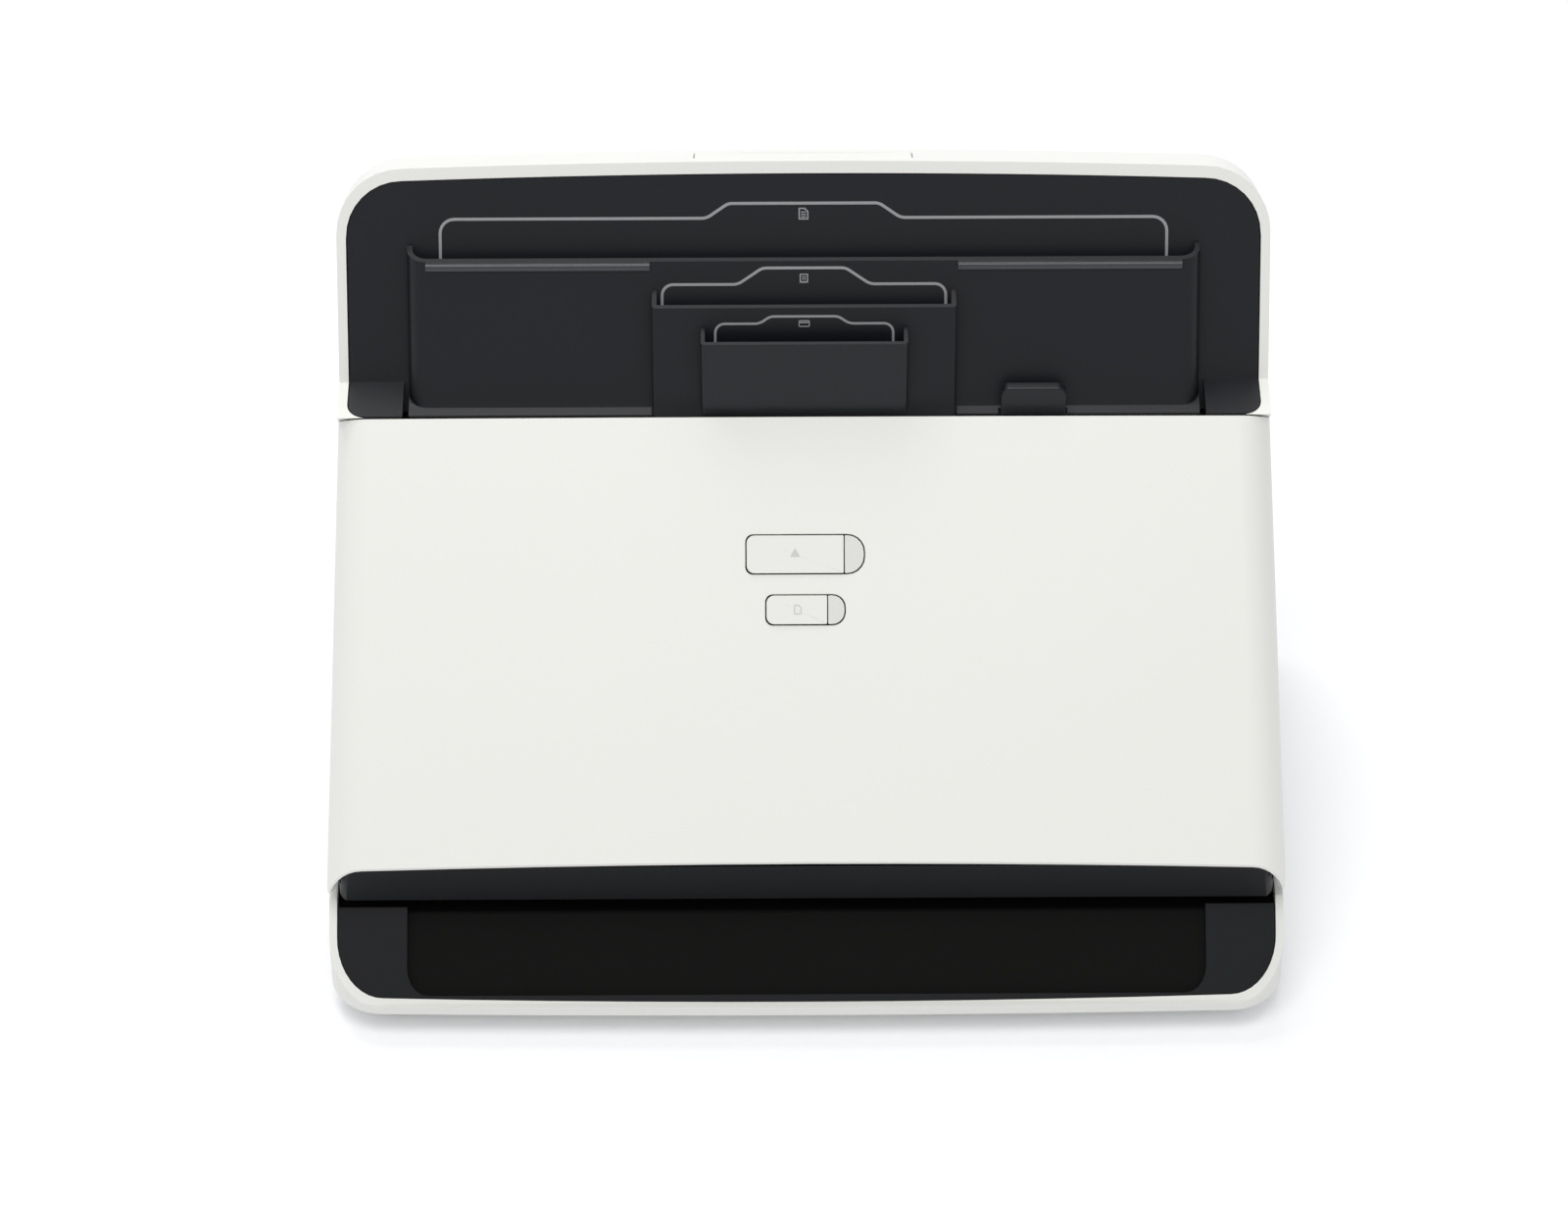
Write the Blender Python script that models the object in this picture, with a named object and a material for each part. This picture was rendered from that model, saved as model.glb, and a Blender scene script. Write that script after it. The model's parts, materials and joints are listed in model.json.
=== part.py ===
"""A sheet-fed document scanner: white housing, hinged front cover, three nested paper pockets.

X runs right as seen from the front, Y runs back and Z runs up. The origin is at the centre of the
footprint, on the surface that the scanner stands on. Side profiles are written as (back, up), where
back is the distance from the foremost point, and inner parts of the sloping cover as (along, deep),
where along runs up the cover's face and deep runs into the machine.
"""

import math

import bmesh
import bpy
from mathutils import Vector

MM = 0.001

# Overall form
TAPER_FOOT_UP = 38.0 * MM
GAP = 0.3 * MM
OPEN_GAP = 0.4 * MM
OVERRUN = 12.0 * MM

# Side profile: the cover's sloping face, and the paper support behind its head
FACE_FOOT_BACK = 20.0 * MM
FACE_FOOT_UP = 50.5 * MM
FACE_LENGTH = 127.0 * MM
FACE_TILT = math.radians(42.8)
HEAD_BACK = FACE_FOOT_BACK + FACE_LENGTH * math.cos(FACE_TILT)
HEAD_UP = FACE_FOOT_UP + FACE_LENGTH * math.sin(FACE_TILT)
SUPPORT_SETBACK = 17.2 * MM
SUPPORT_BACK = HEAD_BACK + SUPPORT_SETBACK
SUPPORT_STEP = 1.3 * MM
SUPPORT_UP = HEAD_UP - SUPPORT_STEP
SUPPORT_LEAN = math.radians(60.0)
SUPPORT_LENGTH = 63.8 * MM
SUPPORT_DEPTH = 22.4 * MM
DEPTH = SUPPORT_BACK + SUPPORT_LENGTH * math.cos(SUPPORT_LEAN) + SUPPORT_DEPTH * math.sin(SUPPORT_LEAN)
SUPPORT_OVERHANG = 14.7 * MM
BASE_LENGTH = DEPTH - SUPPORT_OVERHANG
TAPER_HEAD_DROP = 2.5 * MM
TAPER_HEAD_UP = SUPPORT_UP - TAPER_HEAD_DROP

# Half widths, from the cover's foot inwards
COVER_HALF = 137.0 * MM
TOP_NARROWING = 3.3 * MM
TOP_HALF = COVER_HALF - TOP_NARROWING
BASE_STEP = 0.2 * MM
BASE_HALF = COVER_HALF - BASE_STEP
RECESS_MARGIN = 22.3 * MM
RECESS_HALF = BASE_HALF - RECESS_MARGIN
CHIN_STEP = 3.3 * MM
CHIN_HALF = COVER_HALF - CHIN_STEP
CHASSIS_MARGIN = 22.0 * MM
CHASSIS_AT = COVER_HALF - CHASSIS_MARGIN
GUIDE_HALF = CHASSIS_AT - GAP
SHAFT_PAST_CHASSIS = 3.0 * MM
SHAFT_HALF = CHASSIS_AT + SHAFT_PAST_CHASSIS
GEAR_PAST_CHASSIS = 5.6 * MM
GEAR_AT = CHASSIS_AT + GEAR_PAST_CHASSIS
HOOK_PAST_CHASSIS = 6.0 * MM
HOOK_AT = CHASSIS_AT + HOOK_PAST_CHASSIS
EAR_PAST_CHASSIS = 4.5 * MM
EAR_AT = CHASSIS_AT + EAR_PAST_CHASSIS
ARM_PITCH = 4.5 * MM
ARM_AT = EAR_AT + ARM_PITCH
FRAME_MARGIN = 2.5 * MM
FRAME_HALF = EAR_AT - FRAME_MARGIN
COVER_SCREW_INSET = 9.0 * MM
COVER_SCREW_AT = FRAME_HALF - COVER_SCREW_INSET
MODULE_MARGIN = 4.0 * MM
MODULE_HALF = CHASSIS_AT - MODULE_MARGIN
GLASS_INSET = 3.0 * MM
GLASS_HALF = MODULE_HALF - GLASS_INSET
SIDE_DECK_WIDTH = 18.7 * MM
LINER_SLOT_HALF = TOP_HALF - SIDE_DECK_WIDTH
POCKET_SIDE_GAP = 1.6 * MM
DOCUMENT_HALF = LINER_SLOT_HALF - POCKET_SIDE_GAP
MAIN_BOARD_HALF_WIDTH = 48.0 * MM
MAIN_BOARD_MARGIN = 17.0 * MM
MAIN_BOARD_CENTRE = MAIN_BOARD_HALF_WIDTH + MAIN_BOARD_MARGIN - CHASSIS_AT
USB_OFFSET = 2.0 * MM
USB_AT = MAIN_BOARD_CENTRE + USB_OFFSET
POWER_OFFSET = 26.0 * MM
POWER_AT = MAIN_BOARD_CENTRE - POWER_OFFSET

# Base
FOOT_HEIGHT = 2.2 * MM
FOOT_RADIUS = 8.0 * MM
FOOT_INSET_SIDE = 24.8 * MM
FOOT_INSET_END = 22.0 * MM
BASE_UNDER = 2.5 * MM
BASE_SHOULDER_UP = 8.2 * MM
BASE_TUCK = 7.0 * MM
TUCK_IN_SHARE = 0.5
TUCK_UP_SHARE = 0.45
BASE_WALL = 2.2 * MM
BASE_FLOOR = 2.4 * MM
BASE_TOP = 31.0 * MM
BASE_FRONT_RADIUS = 15.5 * MM
BASE_REAR_RADIUS = 8.0 * MM
BASE_BULGE = 1.2 * MM
RIM_UP = 11.5 * MM
RIM_LEVEL = 2.2 * MM
RAMP_ANGLE = math.radians(40.5)
SCREW_RADIUS = 2.6 * MM
SCREW_HEAD = 1.6 * MM

# Exit ramp
RAMP_DROP = 0.7 * MM
RAMP_THICK = 4.2 * MM
RAMP_LIP = 3.0 * MM
RAMP_END = 23.6 * MM
DECK_END = 35.0 * MM
DECK_FLOOR_UP = 26.6 * MM
DECK_FLOOR_THICK = 2.2 * MM
RECESS_DEPTH = 1.9 * MM
RECESS_START = 4.2 * MM
RECESS_RADIUS = 6.0 * MM

# Front cover
FACE_CROWN = 1.6 * MM
FACE_CORNER = 10.0 * MM
COVER_WALL = 2.2 * MM
COVER_EDGE = 0.4 * MM
COVER_FLARE = 2.5 * MM
COVER_DEEP = 17.0 * MM
COVER_SIDE_UP = 38.7 * MM
MOUTH_LIP = 8.0 * MM
MOUTH_CHAMFER = 8.5 * MM
CHIN_BACK = 21.2 * MM
CHIN_LEAN = 1.0 * MM
CHIN_TOP = 47.6 * MM
CHIN_UNDER = 33.4 * MM
CHIN_WALL = 2.0 * MM
CHIN_RETURN = 32.0 * MM
CHIN_RETURN_UP = 38.2 * MM
CHIN_CORNER = 5.0 * MM
HINGE_BACK = 29.0 * MM
HINGE_UP = 35.0 * MM
HINGE_PIN = 1.5 * MM
HINGE_PIN_HEAD = 2.4 * MM
KNUCKLE = 3.2 * MM
EAR_WIDTH = 4.0 * MM
EAR_FOOT = 5.0 * MM
EAR_TURN = 232.0
EAR_NECK_UP = 29.4 * MM
PIN_REACH = 9.6 * MM

# Paper path, as depths from the cover's face
FRAME_DEEP = 14.5 * MM
FRAME_THICK = 2.2 * MM
FRAME_FOOT = 1.5 * MM
FRAME_RIB = 2.0 * MM
GUIDE_DEEP = 18.0 * MM
GUIDE_THICK = 2.0 * MM
GUIDE_FOOT = -3.0 * MM
GUIDE_PAST_FACE = 1.0 * MM
GUIDE_HEAD = FACE_LENGTH + GUIDE_PAST_FACE
NIP = 17.3 * MM
NIP_GAP = 0.15 * MM
WINDOW_MARGIN = 1.0 * MM

# Scan modules
MODULE_WIDTH = 17.0 * MM
MODULE_DEEP = 10.5 * MM
GLASS_WIDTH = 11.0 * MM
FRONT_MODULE_SHARE = 0.283
FRONT_MODULE_AT = FACE_LENGTH * FRONT_MODULE_SHARE
REAR_MODULE_SHARE = 0.449
REAR_MODULE_AT = FACE_LENGTH * REAR_MODULE_SHARE

# Rollers and shafts
EXIT_SHARE = 0.11
EXIT_AT = FACE_LENGTH * EXIT_SHARE
FEED_SHARE = 0.646
FEED_AT = FACE_LENGTH * FEED_SHARE
PICK_SHARE = 0.85
PICK_AT = FACE_LENGTH * PICK_SHARE
DRIVE_ROLLER = 7.0 * MM
PICK_ROLLER = 8.0 * MM
IDLER_ROLLER = 4.2 * MM
SEPARATION_ROLLER = 5.8 * MM
SHAFT = 3.0 * MM
IDLER_SHAFT = 1.2 * MM
ROLLER_WIDTH = 16.0 * MM
PICK_WIDTH = 36.0 * MM
SEPARATION_WIDTH = 30.0 * MM
ROLLER_SPREAD = 66.0 * MM
LUG_THICK = 2.5 * MM
LUG_HALF = 3.6 * MM

# Chassis, gears and belt
CHASSIS_THICK = 1.5 * MM
CHASSIS_FRONT = 40.0 * MM
CHASSIS_INSET = 12.0 * MM
CHASSIS_BACK = BASE_LENGTH - CHASSIS_INSET
CHASSIS_SHOULDER = 60.0 * MM
GEAR_MODULE = 0.8 * MM
TOOTH_TIP_SHARE = 0.8
TOOTH_ROOT_SHARE = 1.15
TOOTH_SHARES = (-0.33, -0.1, 0.1, 0.33)
GEAR_WIDTH = 4.0 * MM
DRIVE_TEETH = 16
PICK_IDLER_TEETH = 20
REDUCTION_TEETH = 24
PINION_TEETH = 10
REDUCTION_TURN = math.radians(35.0)
GEAR_BORE = 1.8 * MM
STUD_HEAD = 3.0 * MM
PULLEY_RADIUS = 6.0 * MM
BELT_THICK = 1.2 * MM
BELT_WIDTH = 5.0 * MM
MOTOR_RADIUS = 13.0 * MM
MOTOR_LENGTH = 34.0 * MM
MOTOR_SHAFT = 1.5 * MM

# Paper support
SUPPORT_RIM = 2.8 * MM
SUPPORT_TOP_RIM = 3.5 * MM
SUPPORT_CORNER = 19.0 * MM
SUPPORT_ARCH = 1.8 * MM
WIDENED_SHARE = 1.2
HOUSING_WALL = 2.2 * MM
LINER_RECESS = 0.3 * MM
LINER_THICK = 2.0 * MM
LINER_FOOT_DROP = 7.5 * MM
LINER_FOOT_UP = SUPPORT_UP - LINER_FOOT_DROP
DECK_SIDE_THICK = 2.4 * MM
DECK_EDGE = 0.8 * MM
DECK_CORNER = 5.6 * MM

# Paper extension
EXTENSION_HALF = 31.2 * MM
EXTENSION_START = 7.0 * MM
EXTENSION_CAP = 8.8 * MM
EXTENSION_CAP_THICK = 3.2 * MM
EXTENSION_LENGTH = 54.0 * MM
EXTENSION_TONGUE = 2.2 * MM

# Pockets
POCKET_CLEARANCE = 1.1 * MM
DOCUMENT_REACH = 8.8 * MM
DOCUMENT_WALL = 1.6 * MM
DOCUMENT_CORNER = 5.8 * MM
DOCUMENT_FOOT_DROP = 3.4 * MM
DOCUMENT_FOOT_UP = SUPPORT_UP - DOCUMENT_FOOT_DROP
DOCUMENT_RISE = 35.0 * MM
DOCUMENT_TOP_UP = SUPPORT_UP + DOCUMENT_RISE
LIP_REACH = 1.9 * MM
LIP_HEIGHT = 1.8 * MM
SILL_DROP = 1.6 * MM
SILL_UP = SUPPORT_UP - SILL_DROP
SILL_THICK = 1.8 * MM
SILL_REACH = 2.2 * MM
SILL_FALL = 1.0 * MM
RECEIPT_HALF = 43.4 * MM
RECEIPT_FOOT_REACH = 3.6 * MM
RECEIPT_TOP_REACH = 8.5 * MM
RECEIPT_WALL = 1.4 * MM
RECEIPT_FOOT_DROP = 2.1 * MM
RECEIPT_FOOT_UP = SUPPORT_UP - RECEIPT_FOOT_DROP
RECEIPT_RISE = 28.1 * MM
RECEIPT_TOP_UP = SUPPORT_UP + RECEIPT_RISE
CARD_HALF = 29.5 * MM
CARD_FOOT_REACH = 2.7 * MM
CARD_TOP_REACH = 8.0 * MM
CARD_WALL = 1.2 * MM
CARD_FOOT_RISE = 0.7 * MM
CARD_FOOT_UP = SUPPORT_UP + CARD_FOOT_RISE
CARD_RISE = 23.0 * MM
CARD_TOP_UP = SUPPORT_UP + CARD_RISE
POCKET_CORNER = 1.2 * MM

# Latch
LATCH_AT = 65.5 * MM
LATCH_HALF = 9.3 * MM
LATCH_INSET = 7.0 * MM
LATCH_ALONG = FACE_LENGTH - LATCH_INSET
LATCH_DEEP = 6.0 * MM
LATCH_BAR = 2.0 * MM
LATCH_THICK = 2.0 * MM
LATCH_TIP_SETBACK = 5.2 * MM
LATCH_TIP_BACK = HEAD_BACK + LATCH_TIP_SETBACK
LATCH_TIP_RISE = 7.9 * MM
LATCH_TIP_UP = SUPPORT_UP + LATCH_TIP_RISE
LATCH_CORNER = 2.5 * MM
HOOK_WIDTH = 3.0 * MM
HOOK_REACH = 24.0 * MM
HOOK_NOSE = 1.6 * MM
STUD_RADIUS = 1.6 * MM
STUD_DEEP = 19.6 * MM
STUD_REACH = 6.8 * MM
LATCH_SLOT_START = 3.0 * MM

# Buttons
SCAN_SHARE = 0.69
SCAN_AT = FACE_LENGTH * SCAN_SHARE
SCAN_WIDTH = 33.4 * MM
SCAN_HEIGHT = 10.8 * MM
FORMAT_SHARE = 0.565
FORMAT_AT = FACE_LENGTH * FORMAT_SHARE
FORMAT_WIDTH = 22.2 * MM
FORMAT_HEIGHT = 8.2 * MM
LENS_WIDTH = 5.6 * MM
FORMAT_LENS_WIDTH = 4.8 * MM
BUTTON_CORNER = 2.2 * MM
BUTTON_PROUD = 0.5 * MM
BUTTON_DEEP = 4.4 * MM
BUTTON_TRAVEL = 0.8 * MM
STEM_HALF = 1.6 * MM
BOARD_THICK = 1.6 * MM
BUTTON_BOARD_DEEP = 6.6 * MM
BUTTON_BOARD_HALF = 24.0 * MM
BUTTON_BOARD_MARGIN = 6.0 * MM
POST_RADIUS = 2.4 * MM

# Electronics
MAIN_BOARD_INSET = 7.0 * MM
MAIN_BOARD_BACK = BASE_LENGTH - MAIN_BOARD_INSET
MAIN_BOARD_LENGTH = 68.0 * MM
MAIN_BOARD_FRONT = MAIN_BOARD_BACK - MAIN_BOARD_LENGTH
STANDOFF_UP = 9.0 * MM
STANDOFF_INSET = 6.0 * MM
STANDOFF_RADIUS = 3.0 * MM
USB_WIDTH = 12.0 * MM
USB_HEIGHT = 11.0 * MM
USB_LENGTH = 16.0 * MM
USB_WALL = 1.2 * MM
USB_DEPTH = 9.0 * MM
USB_TONGUE_WIDTH = 5.6 * MM
USB_TONGUE_HEIGHT = 3.2 * MM
POWER_WIDTH = 9.4 * MM
POWER_HEIGHT = 11.0 * MM
POWER_BORE = 3.1 * MM
POWER_PIN = 1.0 * MM

ROUND = 24
SMALL_ROUND = 14
CORNER_STEPS = 5

FRONT_Y = -DEPTH / 2


def along_tilt(along, deep):
    """The (back, up) place of a point in the cover's own sloping frame."""
    back = FACE_FOOT_BACK + along * math.cos(FACE_TILT) + deep * math.sin(FACE_TILT)
    up = FACE_FOOT_UP + along * math.sin(FACE_TILT) - deep * math.cos(FACE_TILT)
    return back, up


def cover_end(up):
    """How far back the plane just behind the cover's upper end lies at a height."""
    along = FACE_LENGTH + OPEN_GAP
    deep = (FACE_FOOT_UP + along * math.sin(FACE_TILT) - up) / math.cos(FACE_TILT)
    return along_tilt(along, deep)[0]


def support_point(rise, proud):
    """The (back, up) place of a point in the paper support's frame: rise up its slope, proud of its face."""
    back = SUPPORT_BACK + rise * math.cos(SUPPORT_LEAN) - proud * math.sin(SUPPORT_LEAN)
    up = SUPPORT_UP + rise * math.sin(SUPPORT_LEAN) + proud * math.cos(SUPPORT_LEAN)
    return back, up


def support_face(up):
    """How far back the liner's front face lies at a height."""
    return SUPPORT_BACK + LINER_RECESS / math.sin(SUPPORT_LEAN) + (up - SUPPORT_UP) / math.tan(SUPPORT_LEAN)


def across(back, up, x):
    return Vector((x, back + FRONT_Y, up))


def tilted(along, x, deep):
    return across(*along_tilt(along, deep), x)


def on_support(rise, x, proud):
    return across(*support_point(rise, proud), x)


def from_above(x, back, up):
    return across(back, up, x)


def arc(centre, radius, start, end, steps):
    points = []
    for step in range(steps + 1):
        angle = math.radians(start + (end - start) * step / steps)
        points.append((centre[0] + radius * math.cos(angle), centre[1] + radius * math.sin(angle)))
    return points


def circle(centre, radius, steps):
    return arc(centre, radius, 0, 360, steps)[:-1]


def rounded(a_low, a_high, b_low, b_high, radii, steps=CORNER_STEPS):
    """A rectangle with its corners rounded, from the low corner round to the high ones."""
    first, second, third, fourth = radii
    points = arc((a_low + first, b_low + first), first, 180, 270, steps)
    points += arc((a_high - second, b_low + second), second, 270, 360, steps)
    points += arc((a_high - third, b_high - third), third, 0, 90, steps)
    points += arc((a_low + fourth, b_high - fourth), fourth, 90, 180, steps)
    return points


def loft(rings):
    """A closed solid through rings of points, with the first and last ring as its ends."""
    form = bmesh.new()
    rows = [[form.verts.new(point) for point in ring] for ring in rings]
    form.faces.new(rows[0])
    form.faces.new(rows[-1])
    count = len(rows[0])
    for lower, upper in zip(rows, rows[1:]):
        for index in range(count):
            after = (index + 1) % count
            form.faces.new((lower[index], lower[after], upper[after], upper[index]))
    bmesh.ops.remove_doubles(form, verts=form.verts, dist=MM * MM)
    bmesh.ops.recalc_face_normals(form, faces=form.faces)
    mesh = bpy.data.meshes.new("form")
    form.to_mesh(mesh)
    form.free()
    made = bpy.data.objects.new("form", mesh)
    bpy.context.scene.collection.objects.link(made)
    return made


def prism(outline, place, low, high):
    """An outline of two coordinates extruded from low to high along the third one of its frame."""
    return loft([[place(a, b, height) for a, b in outline] for height in (low, high)])


def side_solid(outline, half):
    return prism(outline, across, -half, half)


def side_run(outline, low, high):
    return prism(outline, across, low, high)


def tilted_across(along, deep, x):
    return tilted(along, x, deep)


def block(place, a_low, a_high, b_low, b_high, c_low, c_high):
    outline = [(a_low, b_low), (a_high, b_low), (a_high, b_high), (a_low, b_high)]
    return prism(outline, place, c_low, c_high)


def rod(centre, radius, low, high, steps=ROUND):
    """A round bar along X about a (back, up) centre."""
    return side_run(circle(centre, radius, steps), low, high)


def tube(centre, outer, inner, low, high, steps=ROUND):
    """A sleeve along X about a (back, up) centre."""
    ring = rod(centre, outer, low, high, steps)
    return cut(ring, rod(centre, inner, low - OVERRUN, high + OVERRUN, SMALL_ROUND))


def post(x, back, radius, low, high, steps=SMALL_ROUND):
    return prism(circle((x, back), radius, steps), from_above, low, high)


def settle(target):
    """Applies the modifiers of a piece to its mesh."""
    bpy.context.view_layer.update()
    seen = target.evaluated_get(bpy.context.evaluated_depsgraph_get())
    mesh = bpy.data.meshes.new_from_object(seen)
    old = target.data
    target.modifiers.clear()
    target.data = mesh
    bpy.data.meshes.remove(old)


def combine(target, operation, tools):
    for tool in tools:
        change = target.modifiers.new(operation.lower(), 'BOOLEAN')
        change.operation = operation
        change.object = tool
        change.solver = 'EXACT'
        settle(target)
        mesh = tool.data
        bpy.data.objects.remove(tool)
        bpy.data.meshes.remove(mesh)
    return target


def cut(target, *tools):
    return combine(target, 'DIFFERENCE', tools)


def fuse(target, *tools):
    return combine(target, 'UNION', tools)


def keep(target, *tools):
    return combine(target, 'INTERSECT', tools)


def finish_of(name, colour, roughness, metallic=0.0):
    made = bpy.data.materials.new(name)
    made.use_nodes = True
    shader = made.node_tree.nodes["Principled BSDF"]
    shader.inputs["Base Color"].default_value = (*colour, 1.0)
    shader.inputs["Roughness"].default_value = roughness
    shader.inputs["Metallic"].default_value = metallic
    return made


def named(made, name, finish):
    made.name = name
    made.data.name = name
    made.data.materials.clear()
    made.data.materials.append(finish)
    made.data.shade_smooth()
    made.data.set_sharp_from_angle(angle=math.radians(30.0))
    return made


def several(pieces, name, finish):
    """Repeated pieces, each its own object with a number in its name."""
    for number, piece in enumerate(pieces, 1):
        named(piece, f"{name}_{number}", finish)


def hung_on(made, centre):
    """Puts a piece's origin on its joint's axis, at a (back, up) centre, without moving its shape."""
    origin = across(*centre, 0.0)
    for vertex in made.data.vertices:
        vertex.co -= origin
    made.location = origin
    return made


def half_width(up):
    """Half the housing's width at a height: it narrows from the foot of the cover to its head."""
    share = (up - TAPER_FOOT_UP) / (TAPER_HEAD_UP - TAPER_FOOT_UP)
    return COVER_HALF + (TOP_HALF - COVER_HALF) * min(1.0, max(0.0, share))


def taper(made):
    """Narrows a piece with the housing, with its sides parted where the narrowing starts and ends."""
    form = bmesh.new()
    form.from_mesh(made.data)
    for up in (TAPER_FOOT_UP, TAPER_HEAD_UP):
        whole = form.verts[:] + form.edges[:] + form.faces[:]
        bmesh.ops.bisect_plane(form, geom=whole, dist=MM * MM, plane_co=Vector((0.0, 0.0, up)),
                               plane_no=Vector((0.0, 0.0, 1.0)))
    for vertex in form.verts:
        vertex.co.x *= half_width(vertex.co.z) / COVER_HALF
    form.to_mesh(made.data)
    form.free()
    return made


def base_plan(inset):
    """The base's outline from above, with its front edge bowed forwards in the middle."""
    half = BASE_HALF - inset
    front = max(BASE_FRONT_RADIUS - inset, GAP)
    rear = max(BASE_REAR_RADIUS - inset, GAP)
    bow_half = half - front
    points = []
    for step in range(-CORNER_STEPS, CORNER_STEPS + 1):
        x = bow_half * step / CORNER_STEPS
        points.append((x, inset + BASE_BULGE * (x / bow_half) ** 2))
    side_front = inset + BASE_BULGE + front
    points += arc((half - front, side_front), front, 270, 360, 2 * CORNER_STEPS)[1:]
    points += arc((half - rear, BASE_LENGTH - inset - rear), rear, 0, 90, CORNER_STEPS)
    points += arc((rear - half, BASE_LENGTH - inset - rear), rear, 90, 180, CORNER_STEPS)
    points += arc((front - half, side_front), front, 180, 270, 2 * CORNER_STEPS)[:-1]
    return points


def base_levels(levels):
    return loft([[from_above(x, back, up) for x, back in base_plan(inset)] for up, inset in levels])


def rear_mounts():
    """The sockets in the base's rear wall: place, width and height."""
    return ((USB_AT, USB_WIDTH, USB_HEIGHT), (POWER_AT, POWER_WIDTH, POWER_HEIGHT))


def foot_places():
    side = BASE_HALF - FOOT_INSET_SIDE
    return [(x, back) for x in (-side, side) for back in (FOOT_INSET_END, BASE_LENGTH - FOOT_INSET_END)]


def base_screw_places():
    return [(x / 2, back) for x, back in foot_places()]


def board_screw_places():
    half = MAIN_BOARD_HALF_WIDTH - STANDOFF_INSET
    ends = (MAIN_BOARD_FRONT + STANDOFF_INSET, MAIN_BOARD_BACK - STANDOFF_INSET)
    return [(MAIN_BOARD_CENTRE + x, back) for x in (-half, half) for back in ends]


def build_base(white):
    tuck_up = BASE_UNDER + (BASE_SHOULDER_UP - BASE_UNDER) * TUCK_UP_SHARE
    outer = [(BASE_UNDER, BASE_TUCK), (tuck_up, BASE_TUCK * TUCK_IN_SHARE), (BASE_SHOULDER_UP, 0.0),
             (BASE_TOP, 0.0)]
    floor_up = BASE_UNDER + BASE_FLOOR
    inner = [(floor_up, BASE_TUCK), (BASE_SHOULDER_UP, BASE_WALL), (BASE_TOP + OVERRUN, BASE_WALL)]
    shell = cut(base_levels(outer), base_levels(inner))
    slope_end = RIM_LEVEL + (BASE_TOP - RIM_UP) / math.tan(RAMP_ANGLE)
    above = [(-OVERRUN, BASE_TOP + OVERRUN), (-OVERRUN, RIM_UP), (RIM_LEVEL, RIM_UP), (slope_end, BASE_TOP),
             (slope_end, BASE_TOP + OVERRUN)]
    cut(shell, side_solid(above, BASE_HALF + OVERRUN))
    for x, back in board_screw_places():
        fuse(shell, post(x, back, STANDOFF_RADIUS, floor_up - BASE_FLOOR / 2, STANDOFF_UP - GAP))
    for x, width, height in rear_mounts():
        low = STANDOFF_UP + BOARD_THICK
        hole = block(from_above, x - width / 2 - GAP, x + width / 2 + GAP,
                     BASE_LENGTH - OVERRUN, BASE_LENGTH + OVERRUN, low, low + height + GAP)
        cut(shell, hole)
    for x, back in base_screw_places():
        cut(shell, post(x, back, SCREW_RADIUS + GAP, BASE_UNDER - OVERRUN, BASE_UNDER + SCREW_HEAD))
    return named(shell, "base_shell", white)


def build_feet(rubber, steel):
    feet = [post(x, back, FOOT_RADIUS, 0.0, FOOT_HEIGHT, ROUND) for x, back in foot_places()]
    several(feet, "foot", rubber)
    heads = []
    for x, back in base_screw_places():
        heads.append(post(x, back, SCREW_RADIUS, BASE_UNDER + GAP, BASE_UNDER + SCREW_HEAD - GAP))
    several(heads, "base_screw", steel)


def build_front_deck(black):
    inset = BASE_WALL + GAP
    top_end = RIM_UP - RAMP_DROP + (RAMP_END - RIM_LEVEL) * math.tan(RAMP_ANGLE)
    ramp_top = (RAMP_END, top_end)
    profile = [(0.0, RIM_UP - RAMP_DROP), (RIM_LEVEL, RIM_UP - RAMP_DROP), ramp_top,
               (RAMP_END + GAP, DECK_FLOOR_UP), (DECK_END, DECK_FLOOR_UP),
               (DECK_END, DECK_FLOOR_UP - DECK_FLOOR_THICK), (RAMP_END, DECK_FLOOR_UP - RAMP_THICK),
               (RIM_LEVEL + RAMP_THICK, RIM_UP - RAMP_DROP - RAMP_THICK / 2),
               (0.0, RIM_UP - RAMP_DROP - RAMP_LIP)]
    deck = side_solid(profile, BASE_HALF)
    keep(deck, base_levels([(BASE_UNDER, inset), (BASE_TOP + OVERRUN, inset)]))
    slope = math.tan(RAMP_ANGLE)
    recess_top = [(RECESS_START, RIM_UP - RAMP_DROP - RECESS_DEPTH + (RECESS_START - RIM_LEVEL) * slope),
                  (RAMP_END, DECK_FLOOR_UP - GAP), (RAMP_END + GAP, DECK_FLOOR_UP - GAP),
                  (RAMP_END + GAP, BASE_TOP), (RECESS_START, BASE_TOP)]
    hollow = side_solid(recess_top, RECESS_HALF)
    reach = RAMP_END + OVERRUN
    corners = (RECESS_RADIUS, RECESS_RADIUS, GAP, GAP)
    outline = rounded(-RECESS_HALF, RECESS_HALF, RECESS_START, reach, corners)
    keep(hollow, prism(outline, from_above, 0.0, BASE_TOP + OVERRUN))
    cut(deck, hollow)
    hinge = (HINGE_BACK, HINGE_UP)
    for side in (-1, 1):
        low = side * EAR_AT - EAR_WIDTH / 2
        stem = [(HINGE_BACK, DECK_FLOOR_UP - DECK_FLOOR_THICK / 2),
                (HINGE_BACK + EAR_FOOT, DECK_FLOOR_UP - DECK_FLOOR_THICK / 2)]
        stem += arc(hinge, KNUCKLE, 0, EAR_TURN, CORNER_STEPS * 2)
        stem.append((HINGE_BACK, EAR_NECK_UP))
        fuse(deck, side_run(stem, low, low + EAR_WIDTH))
        cut(deck, rod(hinge, HINGE_PIN + GAP, low - OVERRUN / 4, low + EAR_WIDTH + OVERRUN / 4, SMALL_ROUND))
    return named(deck, "front_deck", black)


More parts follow.
